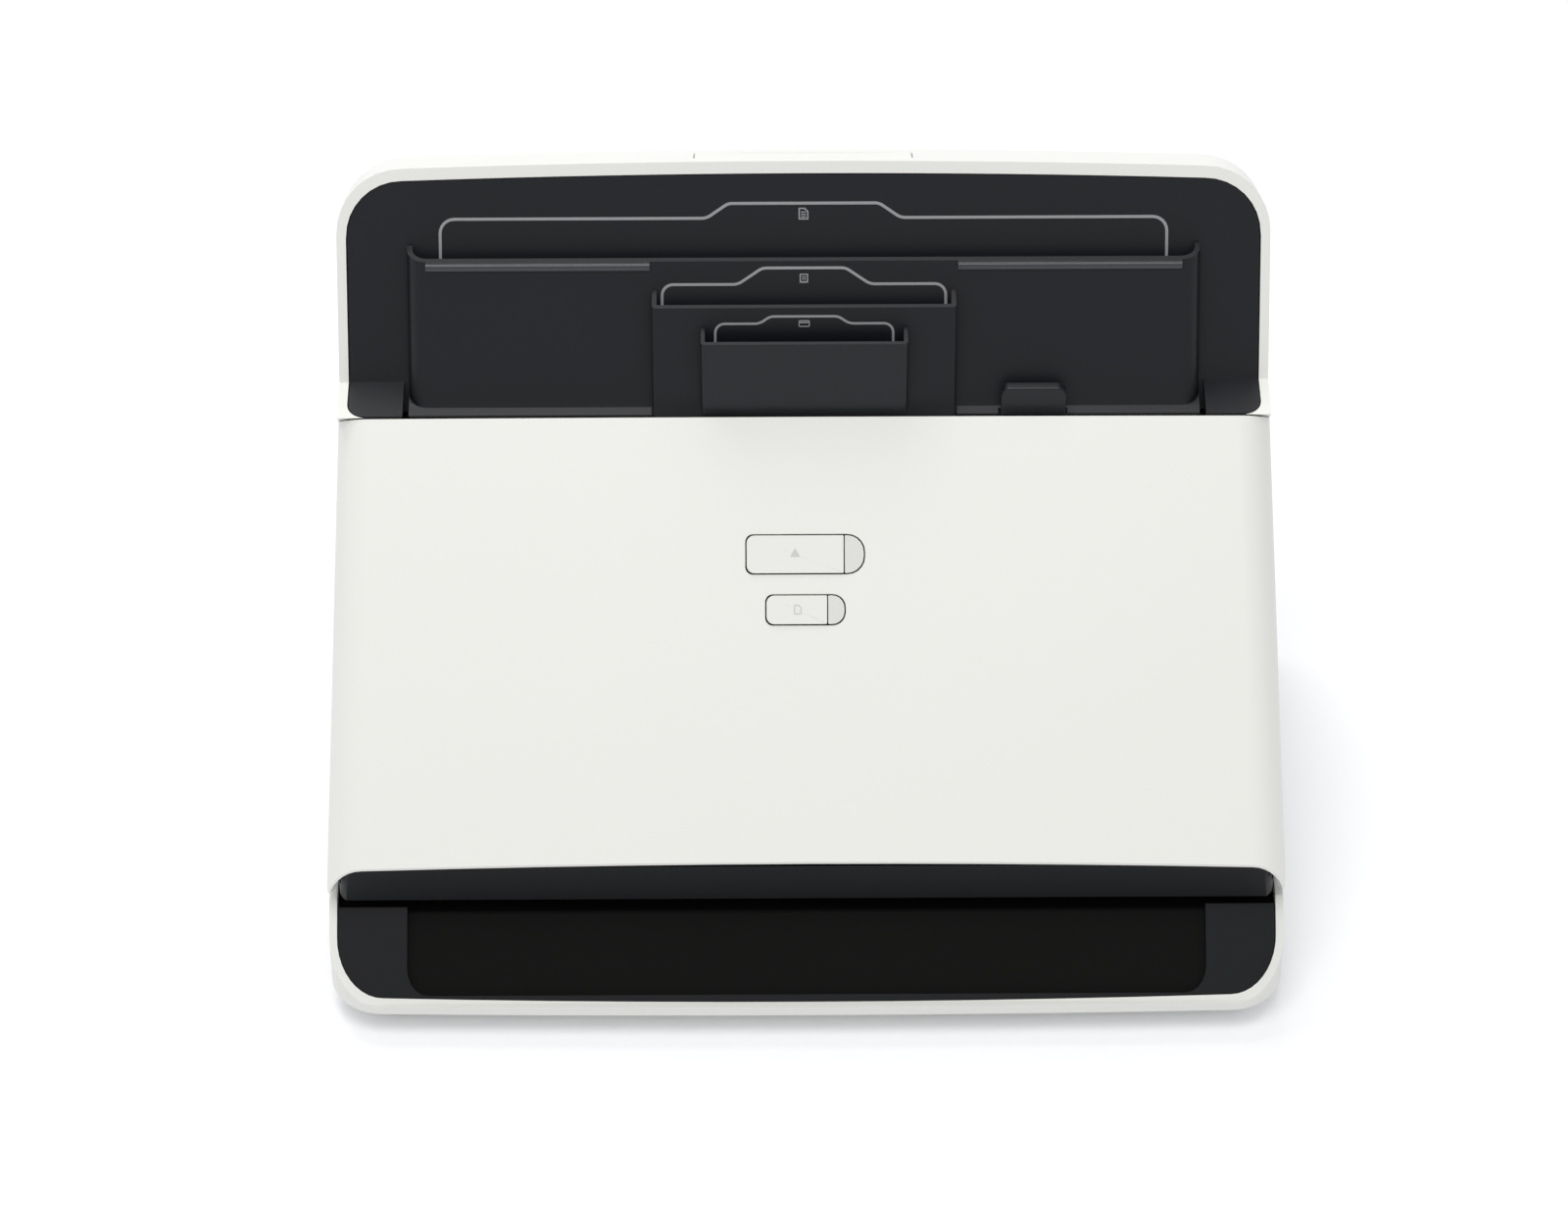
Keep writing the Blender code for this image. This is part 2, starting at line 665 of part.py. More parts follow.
def build_hinge_pins(steel):
    hinge = (HINGE_BACK, HINGE_UP)
    pins = []
    for side in (-1, 1):
        inner = side * (EAR_AT - EAR_WIDTH / 2 - GAP)
        outer = inner + side * PIN_REACH
        head = inner - side * SCREW_HEAD
        pin = rod(hinge, HINGE_PIN, min(inner, outer), max(inner, outer), SMALL_ROUND)
        overlap = inner + side * GAP / 2
        flange = rod(hinge, HINGE_PIN_HEAD, min(head, overlap), max(head, overlap), SMALL_ROUND)
        pins.append(fuse(pin, flange))
    several(pins, "hinge_pin", steel)


def cover_section(wall, depth):
    """Half of the cover's cross-section outline as (x, deep), from the side's inner edge to the middle."""
    half = COVER_HALF - wall
    corner = FACE_CORNER - wall
    points = [(half, depth)]
    for x, deep in arc((half - corner, FACE_CROWN + wall + corner), corner, 0, -90, CORNER_STEPS + 3):
        points.append((x, deep))
    for step in range(CORNER_STEPS - 1, 0, -1):
        share = step / CORNER_STEPS
        points.append(((half - corner) * share, wall + FACE_CROWN * share ** 2))
    points.append((0.0, wall))
    return points


def mirrored(points):
    return points + [(-x, deep) for x, deep in reversed(points[:-1])]


def cover_foot(section, reach):
    """The ring of a section where the cover ends at its foot, moved outwards by a reach."""
    return [tilted(-deep * math.tan(FACE_TILT) - reach, x, deep) for x, deep in section]


def cover_body(wall, depth, head, foot_reach):
    section = mirrored(cover_section(wall, depth))
    return taper(loft([cover_foot(section, foot_reach), [tilted(head, x, deep) for x, deep in section]]))


def cover_flare():
    """The hollow that thins the cover's wall to a fine edge at its foot."""
    rings = []
    for wall, reach in ((COVER_EDGE, GAP), (COVER_WALL, -COVER_FLARE)):
        rings.append(cover_foot(mirrored(cover_section(wall, COVER_DEEP + OVERRUN)), reach))
    return taper(loft(rings))


def button_places():
    """Each button: name, place along the face, width, height and the width of its lens."""
    return (("scan", SCAN_AT, SCAN_WIDTH, SCAN_HEIGHT, LENS_WIDTH),
            ("format", FORMAT_AT, FORMAT_WIDTH, FORMAT_HEIGHT, FORMAT_LENS_WIDTH))


def face_outline(along, height, low, high, left, right):
    """A rounded outline on the cover's face as (along, x)."""
    return rounded(along - height / 2, along + height / 2, low, high, (left, left, right, right))


def build_cover_shell(white):
    shell = cover_body(0.0, COVER_DEEP, FACE_LENGTH, 0.0)
    cut(shell, cover_body(COVER_WALL, COVER_DEEP + OVERRUN, FACE_LENGTH - COVER_WALL, OVERRUN))
    cut(shell, cover_flare())
    mouth = [(FACE_LENGTH - COVER_WALL - GAP, MOUTH_CHAMFER), (FACE_LENGTH + OVERRUN, MOUTH_CHAMFER),
             (FACE_LENGTH + OVERRUN, COVER_DEEP + OVERRUN),
             (FACE_LENGTH - COVER_WALL - GAP, COVER_DEEP + OVERRUN)]
    cut(shell, prism(mouth, tilted_across, -FRAME_HALF, FRAME_HALF))
    cut(shell, block(from_above, -COVER_HALF * 2, COVER_HALF * 2, 0.0, DEPTH, 0.0, COVER_SIDE_UP))
    for name, along, width, height, lens in button_places():
        grow = OPEN_GAP
        hole = face_outline(along, height + 2 * grow, -width / 2 - grow, width / 2 + grow,
                            BUTTON_CORNER, height / 2 - GAP)
        cut(shell, prism(hole, tilted, -OVERRUN / 4, OVERRUN / 2))
    slot = block(tilted, FACE_LENGTH - OVERRUN / 2, FACE_LENGTH + OVERRUN / 2,
                 LATCH_AT - LATCH_HALF - OPEN_GAP, LATCH_AT + LATCH_HALF + OPEN_GAP,
                 LATCH_SLOT_START, MOUTH_CHAMFER + OVERRUN / 4)
    cut(shell, slot)
    return named(shell, "front_cover_shell", white)


def build_chin(black):
    profile = [(CHIN_BACK, CHIN_TOP), (CHIN_BACK + CHIN_LEAN, CHIN_UNDER),
               (CHIN_BACK + CHIN_LEAN + CHIN_WALL, CHIN_UNDER), (CHIN_BACK + CHIN_WALL, CHIN_TOP)]
    chin = side_solid(profile, CHIN_HALF)
    for side in (-1, 1):
        outer = side * CHIN_HALF
        inner = outer - side * CHIN_WALL
        flank = block(across, CHIN_BACK + CHIN_LEAN, CHIN_RETURN, CHIN_UNDER, CHIN_RETURN_UP,
                      min(outer, inner), max(outer, inner))
        fuse(chin, flank)
    corners = (CHIN_CORNER, CHIN_CORNER, GAP, GAP)
    plan = rounded(-CHIN_HALF, CHIN_HALF, CHIN_BACK, DECK_END, corners)
    keep(chin, prism(plan, from_above, 0.0, FACE_FOOT_UP))
    keep(chin, cover_body(COVER_WALL + GAP, COVER_DEEP + OVERRUN, FACE_LENGTH, OVERRUN))
    return named(chin, "cover_chin", black)


def roller_places():
    return (-ROLLER_SPREAD, 0.0, ROLLER_SPREAD)


def window(place, along, length, x, half, low, high):
    return block(place, along - length / 2, along + length / 2, x - half, x + half, low, high)


def build_cover_frame(black):
    back = FRAME_DEEP + FRAME_THICK
    plate = [(FRAME_FOOT, FRAME_DEEP), (FACE_LENGTH - MOUTH_LIP - FRAME_THICK / 2, FRAME_DEEP),
             (FACE_LENGTH - COVER_WALL - OPEN_GAP, MOUTH_CHAMFER - FRAME_THICK / 2),
             (FACE_LENGTH - COVER_WALL - OPEN_GAP, MOUTH_CHAMFER + FRAME_THICK),
             (FACE_LENGTH - MOUTH_LIP, back), (FRAME_FOOT, back)]
    frame = prism(plate, tilted_across, -FRAME_HALF, FRAME_HALF)
    rib_top = COVER_WALL + FACE_CROWN + OPEN_GAP
    for side in (-1, 1):
        outer = side * (FRAME_HALF - GAP)
        inner = outer - side * FRAME_RIB
        rib = block(tilted_across, FRAME_FOOT + GAP, FACE_LENGTH - MOUTH_LIP * 2, rib_top,
                    FRAME_DEEP + FRAME_THICK / 2, min(outer, inner), max(outer, inner))
        fuse(frame, rib)
        hinge = (HINGE_BACK, HINGE_UP)
        low = side * ARM_AT - EAR_WIDTH / 2
        lean = math.degrees(FACE_TILT)
        arm = arc(hinge, KNUCKLE, 90 + lean, 270 + lean, CORNER_STEPS * 2)
        tip = along_tilt(FRAME_FOOT + OVERRUN, back)
        root = along_tilt(FRAME_FOOT + OVERRUN, back - 2 * KNUCKLE)
        fuse(frame, side_run([*arm, tip, root], low, low + EAR_WIDTH))
        bridge_low = min(outer - side * GAP, side * (ARM_AT + EAR_WIDTH / 2))
        bridge_high = max(outer - side * GAP, side * (ARM_AT + EAR_WIDTH / 2))
        fuse(frame, block(tilted_across, FRAME_FOOT + KNUCKLE * 2, FRAME_FOOT + OVERRUN - GAP,
                          back - 2 * KNUCKLE + GAP, back - GAP, bridge_low, bridge_high))
        cut(frame, rod(hinge, HINGE_PIN + GAP, low - OVERRUN / 4, low + EAR_WIDTH + OVERRUN / 4, SMALL_ROUND))
    add_roller_lugs(frame)
    for x in roller_places():
        for along in (EXIT_AT, FEED_AT):
            half = ROLLER_WIDTH / 2 + WINDOW_MARGIN
            cut(frame, window(tilted, along, 2 * IDLER_ROLLER + WINDOW_MARGIN, x, half,
                              FRAME_DEEP - GAP, back + OVERRUN))
    cut(frame, window(tilted, PICK_AT, 2 * SEPARATION_ROLLER + WINDOW_MARGIN, 0.0,
                      SEPARATION_WIDTH / 2 + WINDOW_MARGIN, FRAME_DEEP - GAP, back + OVERRUN))
    cut(frame, window(tilted, FRONT_MODULE_AT, GLASS_WIDTH + 2 * GAP, 0.0, GLASS_HALF + GAP,
                      FRAME_DEEP - OVERRUN / 4, back + OVERRUN))
    for x, along in cover_screw_places():
        fuse(frame, prism(circle((along, x), POST_RADIUS, SMALL_ROUND), tilted,
                          COVER_WALL + FACE_CROWN + GAP, FRAME_DEEP + GAP))
        cut(frame, prism(circle((along, x), SCREW_RADIUS - GAP, SMALL_ROUND), tilted,
                         back - SCREW_HEAD, back + OVERRUN))
    return named(frame, "cover_frame", black)


def cover_screw_places():
    places = []
    for side in (-1, 1):
        places.append((side * COVER_SCREW_AT, EXIT_AT + OVERRUN / 4))
        places.append((side * COVER_SCREW_AT, PICK_AT - OVERRUN / 2))
    return places


def front_axles():
    """Each axle in the cover: place along, the rollers' radius, their places and half their width."""
    return (("exit", EXIT_AT, IDLER_ROLLER, roller_places(), ROLLER_WIDTH / 2),
            ("feed", FEED_AT, IDLER_ROLLER, roller_places(), ROLLER_WIDTH / 2),
            ("separation", PICK_AT, SEPARATION_ROLLER, (0.0,), SEPARATION_WIDTH / 2))


def axle_reach(places, half):
    return max(places) + half + WINDOW_MARGIN + LUG_THICK + GAP


def front_centre(along, radius):
    return along_tilt(along, NIP - NIP_GAP - radius)


def add_roller_lugs(frame):
    """The ears of the frame that carry the axles at their ends."""
    for name, along, radius, places, half in front_axles():
        deep = NIP - NIP_GAP - radius
        reach = axle_reach(places, half)
        for side in (-1, 1):
            outer = side * reach
            inner = outer - side * LUG_THICK
            lug = block(tilted_across, along - LUG_HALF, along + LUG_HALF, deep - LUG_HALF + GAP,
                        FRAME_DEEP + GAP, min(outer, inner), max(outer, inner))
            fuse(frame, lug)
            cut(frame, rod(front_centre(along, radius), IDLER_SHAFT + GAP, min(outer, inner) - GAP,
                           max(outer, inner) + GAP, SMALL_ROUND))


def build_front_axles(steel, rubber, grey):
    for name, along, radius, places, half in front_axles():
        centre = front_centre(along, radius)
        reach = axle_reach(places, half) - GAP
        shaft = rod(centre, IDLER_SHAFT, -reach, reach, SMALL_ROUND)
        if name == "separation":
            named(shaft, "separation_shaft", steel)
            roller = tube(centre, radius, IDLER_SHAFT + GAP, -half, half)
            hung_on(named(roller, "separation_roller", rubber), centre)
            continue
        for x in places:
            fuse(shaft, rod(centre, radius, x - half, x + half))
        hung_on(named(shaft, name + "_idlers", grey), centre)


def build_scan_modules(black, glass):
    for name, along, low, guide in (("front", FRONT_MODULE_AT, FRAME_DEEP - GAP - MODULE_DEEP, FRAME_DEEP),
                                    ("rear", REAR_MODULE_AT, GUIDE_DEEP + GUIDE_THICK + GAP, GUIDE_DEEP)):
        housing = block(tilted, along - MODULE_WIDTH / 2, along + MODULE_WIDTH / 2, -MODULE_HALF, MODULE_HALF,
                        low, low + MODULE_DEEP)
        change = housing.modifiers.new("edge", 'BEVEL')
        change.width = GAP * 2
        change.segments = 1
        settle(housing)
        named(housing, name + "_scan_module", black)
        thick = FRAME_THICK if name == "front" else GUIDE_THICK
        pane = block(tilted, along - GLASS_WIDTH / 2, along + GLASS_WIDTH / 2, -GLASS_HALF, GLASS_HALF,
                     guide, guide + thick)
        named(pane, name + "_scan_glass", glass)


def build_buttons(white, lens_finish, green):
    for name, along, width, height, lens in button_places():
        low = -width / 2
        high = width / 2
        split = high - lens
        key = prism(face_outline(along, height, low, split - GAP / 2, BUTTON_CORNER, GAP), tilted,
                    -BUTTON_PROUD, BUTTON_DEEP)
        middle = (low + split) / 2
        stem = block(tilted, along - STEM_HALF, along + STEM_HALF, middle - STEM_HALF, middle + STEM_HALF,
                     BUTTON_DEEP - GAP, BUTTON_BOARD_DEEP - BUTTON_TRAVEL - GAP)
        hung_on(named(fuse(key, stem), name + "_button", white), along_tilt(along, 0.0))
    lenses = []
    for name, along, width, height, lens in button_places():
        low = width / 2 - lens + GAP / 2
        window_pane = prism(face_outline(along, height, low, width / 2, GAP, height / 2 - 2 * GAP), tilted,
                            -BUTTON_PROUD + GAP, BUTTON_BOARD_DEEP - GAP)
        lenses.append(window_pane)
    several(lenses, "indicator_lens", lens_finish)
    low = FORMAT_AT - FORMAT_HEIGHT / 2 - BUTTON_BOARD_MARGIN
    high = SCAN_AT + SCAN_HEIGHT / 2 + BUTTON_BOARD_MARGIN
    board = block(tilted, low, high, -BUTTON_BOARD_HALF, BUTTON_BOARD_HALF, BUTTON_BOARD_DEEP,
                  BUTTON_BOARD_DEEP + BOARD_THICK)
    named(board, "button_board", green)


def build_latch(black, steel):
    centre = along_tilt(LATCH_ALONG, LATCH_DEEP)
    reach = HOOK_AT + HOOK_WIDTH / 2
    latch = rod(centre, LATCH_BAR, -reach, reach, SMALL_ROUND)
    tip = (LATCH_TIP_BACK, LATCH_TIP_UP)
    knee = (tip[0] - LATCH_CORNER, along_tilt(FACE_LENGTH, LATCH_DEEP)[1])
    tab = [centre, knee, (tip[0] - LATCH_THICK / 2, tip[1]), (tip[0] + LATCH_THICK, tip[1]),
           (knee[0] + LATCH_THICK, knee[1] - GAP), (centre[0] + LATCH_THICK, centre[1])]
    blade = side_run(tab, LATCH_AT - LATCH_HALF, LATCH_AT + LATCH_HALF)
    corners = (GAP, GAP, LATCH_CORNER, LATCH_CORNER)
    front = rounded(LATCH_AT - LATCH_HALF, LATCH_AT + LATCH_HALF, centre[1] - OVERRUN, tip[1], corners)
    keep(blade, loft([[across(back, up, x) for x, up in front] for back in (0.0, DEPTH)]))
    fuse(latch, blade)
    for side in (-1, 1):
        low = side * HOOK_AT - HOOK_WIDTH / 2
        arm = [(LATCH_ALONG - LATCH_BAR, LATCH_DEEP), (LATCH_ALONG - LATCH_BAR, STUD_DEEP + STUD_RADIUS),
               (LATCH_ALONG - LATCH_BAR - HOOK_NOSE + GAP, STUD_DEEP + STUD_RADIUS + GAP * 2),
               (LATCH_ALONG - LATCH_BAR, HOOK_REACH), (LATCH_ALONG + LATCH_BAR, HOOK_REACH - LATCH_BAR),
               (LATCH_ALONG + LATCH_BAR, LATCH_DEEP)]
        fuse(latch, prism(arm, tilted_across, low, low + HOOK_WIDTH))
    hung_on(named(latch, "release_latch", black), centre)
    studs = []
    spot = along_tilt(LATCH_ALONG - LATCH_BAR - HOOK_NOSE - STUD_RADIUS, STUD_DEEP)
    for side in (-1, 1):
        near = side * (CHASSIS_AT + CHASSIS_THICK + GAP)
        far = near + side * STUD_REACH
        studs.append(rod(spot, STUD_RADIUS, min(near, far), max(near, far), SMALL_ROUND))
    several(studs, "latch_stud", steel)


def rear_centre(along, radius):
    return along_tilt(along, NIP + NIP_GAP + radius)


def drive_shafts():
    """Each driven shaft: name, centre, the rollers' radius, their places and half their width."""
    return (("exit", rear_centre(EXIT_AT, DRIVE_ROLLER), DRIVE_ROLLER, roller_places(), ROLLER_WIDTH / 2),
            ("feed", rear_centre(FEED_AT, DRIVE_ROLLER), DRIVE_ROLLER, roller_places(), ROLLER_WIDTH / 2),
            ("pick", rear_centre(PICK_AT, PICK_ROLLER), PICK_ROLLER, (0.0,), PICK_WIDTH / 2))


def pitch_radius(teeth):
    return GEAR_MODULE * teeth / 2


def third_centre(first, second, reach_first, reach_second, side):
    """The point at the two distances from two centres, on the chosen side of the line between them."""
    start = Vector(first)
    line = Vector(second) - start
    gap = line.length
    run = (reach_first ** 2 - reach_second ** 2 + gap ** 2) / (2 * gap)
    rise = math.sqrt(reach_first ** 2 - run ** 2)
    unit = line / gap
    spot = start + unit * run + Vector((-unit.y, unit.x)) * rise * side
    return spot.x, spot.y


def stepped(centre, reach, angle):
    return centre[0] + reach * math.cos(angle), centre[1] + reach * math.sin(angle)


def gear_train():
    """Each gear: name, centre, teeth, first tooth's angle and bore."""
    centres = {name: centre for name, centre, *rest in drive_shafts()}
    reach = pitch_radius(DRIVE_TEETH) + pitch_radius(PICK_IDLER_TEETH)
    pick_idler = third_centre(centres["feed"], centres["pick"], reach, reach, -1)
    step = pitch_radius(DRIVE_TEETH) + pitch_radius(REDUCTION_TEETH)
    reduction = stepped(centres["feed"], step, FACE_TILT - math.pi / 2 - REDUCTION_TURN)
    far = pitch_radius(REDUCTION_TEETH) + pitch_radius(PINION_TEETH)
    pinion = stepped(reduction, far, FACE_TILT - math.pi / 2)
    train = {"feed_gear": (centres["feed"], DRIVE_TEETH, 0.0, SHAFT + GAP)}
    for name, centre, teeth, driver, bore in (
            ("pick_idler_gear", pick_idler, PICK_IDLER_TEETH, "feed_gear", GEAR_BORE),
            ("pick_gear", centres["pick"], DRIVE_TEETH, "pick_idler_gear", SHAFT + GAP),
            ("reduction_gear", reduction, REDUCTION_TEETH, "feed_gear", GEAR_BORE),
            ("motor_pinion", pinion, PINION_TEETH, "reduction_gear", 0.0)):
        other, other_teeth, other_angle, other_bore = train[driver]
        line = math.atan2(centre[1] - other[1], centre[0] - other[0])
        phase = (line - other_angle) * other_teeth / math.tau
        angle = line + math.pi - (0.5 - phase) * math.tau / teeth
        train[name] = (centre, teeth, angle, bore)
    return train


def gear_outline(centre, teeth, angle):
    """Straight-flanked teeth with a little backlash, each of four points."""
    pitch = pitch_radius(teeth)
    outer = pitch + GEAR_MODULE * TOOTH_TIP_SHARE
    root = pitch - GEAR_MODULE * TOOTH_ROOT_SHARE
    turn = math.tau / teeth
    points = []
    for tooth in range(teeth):
        middle = angle + tooth * turn
        for radius, share in zip((root, outer, outer, root), TOOTH_SHARES):
            spot = middle + share * turn
            points.append((centre[0] + radius * math.cos(spot), centre[1] + radius * math.sin(spot)))
    return points


def build_gears(nylon, steel):
    studs = []
    for name, (centre, teeth, angle, bore) in gear_train().items():
        low = -GEAR_AT - GEAR_WIDTH / 2
        gear = side_run(gear_outline(centre, teeth, angle), low, low + GEAR_WIDTH)
        if bore:
            cut(gear, rod(centre, bore, low - OVERRUN, low + GEAR_WIDTH + OVERRUN, SMALL_ROUND))
        else:
            fuse(gear, rod(centre, MOTOR_SHAFT, low - MOTOR_SHAFT, -CHASSIS_AT, SMALL_ROUND))
        hung_on(named(gear, name, nylon), centre)
        if bore == GEAR_BORE:
            near = -CHASSIS_AT - CHASSIS_THICK - GAP
            far = low - GAP
            stud = rod(centre, bore - GAP, far - GAP / 2, near, SMALL_ROUND)
            studs.append(fuse(stud, rod(centre, STUD_HEAD, far - SCREW_HEAD, far, SMALL_ROUND)))
    several(studs, "gear_stud", steel)


def build_drive(steel, rubber, nylon, black):
    for name, centre, radius, places, half in drive_shafts():
        low = -GEAR_AT - GEAR_WIDTH if name != "exit" else -SHAFT_HALF - GEAR_WIDTH / 2
        high = GEAR_AT + BELT_WIDTH if name != "pick" else SHAFT_HALF + GEAR_WIDTH / 2
        shaft = rod(centre, SHAFT, low, high, SMALL_ROUND + 2)
        if name == "pick":
            hung_on(named(shaft, "pick_shaft", steel), centre)
            roller = tube(centre, radius, SHAFT + GAP, -half, half)
            hung_on(named(roller, "pick_roller", rubber), centre)
            continue
        for x in places:
            fuse(shaft, rod(centre, radius, x - half, x + half))
        hung_on(named(shaft, name + "_rollers", rubber), centre)
    centres = {name: centre for name, centre, *rest in drive_shafts()}
    low = GEAR_AT - BELT_WIDTH / 2 + GAP
    high = low + BELT_WIDTH
    for name in ("feed", "exit"):
        pulley = tube(centres[name], PULLEY_RADIUS, SHAFT + GAP, low, high)
        for edge in (low - GAP * 2, high):
            lip = tube(centres[name], PULLEY_RADIUS + BELT_THICK, SHAFT + GAP, edge - GAP, edge + GAP * 3)
            fuse(pulley, lip)
        hung_on(named(pulley, name + "_pulley", nylon), centres[name])
    inner = belt_outline(centres["exit"], centres["feed"], PULLEY_RADIUS + GAP)
    outer = belt_outline(centres["exit"], centres["feed"], PULLEY_RADIUS + GAP + BELT_THICK)
    belt = side_run(outer, low + GAP * 4, high - GAP * 2)
    named(cut(belt, side_run(inner, low - OVERRUN, high + OVERRUN)), "drive_belt", black)


def belt_outline(start, end, radius):
    line = math.degrees(math.atan2(end[1] - start[1], end[0] - start[0]))
    points = arc(end, radius, line - 90, line + 90, ROUND // 2)
    points += arc(start, radius, line + 90, line + 270, ROUND // 2)
    return points


def build_motor(steel):
    centre = gear_train()["motor_pinion"][0]
    near = -CHASSIS_AT + GAP
    named(rod(centre, MOTOR_RADIUS, near, near + MOTOR_LENGTH), "drive_motor", steel)


def build_chassis(steel):
    floor = BASE_UNDER + BASE_FLOOR + GAP
    front_low = along_tilt(0.0, GUIDE_DEEP)
    front_high = along_tilt(FACE_LENGTH - OVERRUN / 2, GUIDE_DEEP)
    outline = [(CHASSIS_FRONT, floor), (CHASSIS_BACK, floor), (CHASSIS_BACK, CHASSIS_SHOULDER),
               (front_high[0] + OVERRUN, front_high[1]), front_high, (CHASSIS_FRONT - GAP, front_low[1]
               + (CHASSIS_FRONT - GAP - front_low[0]) * math.tan(FACE_TILT))]
    for side, name in ((-1, "chassis_plate_left"), (1, "chassis_plate_right")):
        near = side * CHASSIS_AT
        far = near + side * CHASSIS_THICK
        plate = side_run(outline, min(near, far), max(near, far))
        for shaft, centre, *rest in drive_shafts():
            cut(plate, rod(centre, SHAFT + GAP, near - OVERRUN, near + OVERRUN, SMALL_ROUND + 2))
        if side < 0:
            spot = gear_train()["motor_pinion"][0]
            cut(plate, rod(spot, MOTOR_SHAFT * 2, near - OVERRUN, near + OVERRUN, SMALL_ROUND))
        named(plate, name, steel)


def build_guide(black):
    back = GUIDE_DEEP + GUIDE_THICK
    guide = block(tilted, GUIDE_FOOT, GUIDE_HEAD, -GUIDE_HALF, GUIDE_HALF, GUIDE_DEEP, back)
    for name, centre, radius, places, half in drive_shafts():
        along = {"exit": EXIT_AT, "feed": FEED_AT, "pick": PICK_AT}[name]
        for x in places:
            cut(guide, window(tilted, along, 2 * radius + WINDOW_MARGIN, x, half + WINDOW_MARGIN,
                              GUIDE_DEEP - OVERRUN, back + OVERRUN))
    cut(guide, window(tilted, REAR_MODULE_AT, GLASS_WIDTH + 2 * GAP, 0.0, GLASS_HALF + GAP,
                      GUIDE_DEEP - OVERRUN, back + OVERRUN))
    return named(guide, "rear_guide", black)


def support_outline(half, top, corner, arch):
    """The support's outline as (rise, x): round upper corners and a gently arched top edge."""
    points = [(-DEPTH, -half), (top - arch - corner, -half)]
    turn = arc((top - arch - corner, corner - half), corner, 270, 360, CORNER_STEPS + 3)
    points += turn[1:]
    flat = half - corner
    for step in range(-CORNER_STEPS - 2, CORNER_STEPS + 3):
        x = flat * step / (CORNER_STEPS + 3)
        points.append((top - arch * (x / flat) ** 2, x))
    points += [(rise, -x) for rise, x in reversed(turn[1:])]
    points += [(top - arch - corner, half), (-DEPTH, half)]
    return points


def housing_profile(wall, top_rim, opened):
    """The rear housing's side profile, inset by its walls, and run out past its open sides."""
    back_wall = BASE_LENGTH - wall
    under = BASE_TOP + OPEN_GAP - (OVERRUN if opened else 0.0)
    lip = SUPPORT_LENGTH - top_rim
    depth = SUPPORT_DEPTH - wall
    slab_rise = (back_wall - support_point(0.0, -depth)[0]) / math.cos(SUPPORT_LEAN)
    slab_low = (back_wall, support_point(slab_rise, -depth)[1])
    points = [(back_wall, under), slab_low, support_point(lip, -depth)]
    if opened:
        points += [support_point(lip, OVERRUN * 4), along_tilt(FACE_LENGTH, -OVERRUN * 2), (0.0, under)]
        return points
    split = COVER_DEEP + OPEN_GAP
    foot_along = (COVER_SIDE_UP - FACE_FOOT_UP + split * math.cos(FACE_TILT)) / math.sin(FACE_TILT)
    side_foot = along_tilt(foot_along, split)
    points += [support_point(lip, 0.0), support_point(0.0, 0.0), (cover_end(SUPPORT_UP), SUPPORT_UP),
               along_tilt(FACE_LENGTH + OPEN_GAP, split), side_foot, (side_foot[0], under)]
    return points


def deck_corner(side, radius, low, high, beyond, ahead):
    """The filling between a side deck's round front corner and the square corner of its opening."""
    centre = side * (TOP_HALF - SUPPORT_RIM - DECK_CORNER)
    centre_back = cover_end(SUPPORT_UP) + DECK_CORNER
    outer = side * (TOP_HALF - SUPPORT_RIM + beyond)
    profile = [(cover_end(high) - ahead, high), (centre_back, high), (centre_back, low),
               (cover_end(low) - ahead, low)]
    corner = side_run(profile, min(centre, outer), max(centre, outer))
    return cut(corner, post(centre, centre_back, radius, low - GAP, high + GAP, ROUND * 2))


def build_housing(white):
    housing = taper(side_solid(housing_profile(0.0, 0.0, False), COVER_HALF))
    outline = support_outline(TOP_HALF, SUPPORT_LENGTH, SUPPORT_CORNER, SUPPORT_ARCH)
    keep(housing, prism(widened(outline), on_support, -DEPTH, DEPTH))
    inner = taper(side_solid(housing_profile(HOUSING_WALL, SUPPORT_TOP_RIM, True), COVER_HALF - SUPPORT_RIM))
    outline = support_outline(TOP_HALF - SUPPORT_RIM, SUPPORT_LENGTH - SUPPORT_TOP_RIM,
                              SUPPORT_CORNER - SUPPORT_RIM, SUPPORT_ARCH)
    keep(inner, prism(widened(outline), on_support, -DEPTH, DEPTH))
    cut(housing, inner)
    slot = block(on_support, SUPPORT_LENGTH - OVERRUN, SUPPORT_LENGTH + OVERRUN,
                 -EXTENSION_HALF - GAP, EXTENSION_HALF + GAP,
                 -EXTENSION_START - EXTENSION_CAP - GAP, -EXTENSION_START + GAP)
    cut(housing, slot)
    for side in (-1, 1):
        fuse(housing, deck_corner(side, DECK_CORNER, SUPPORT_UP - DECK_SIDE_THICK, SUPPORT_UP,
                                  SUPPORT_RIM / 2, 0.0))
    return named(housing, "rear_housing", white)


def widened(points):
    """Spreads the outline's foot so that only its upper corners cut."""
    return [(rise, x * WIDENED_SHARE if rise <= -DEPTH + GAP else x) for rise, x in points]


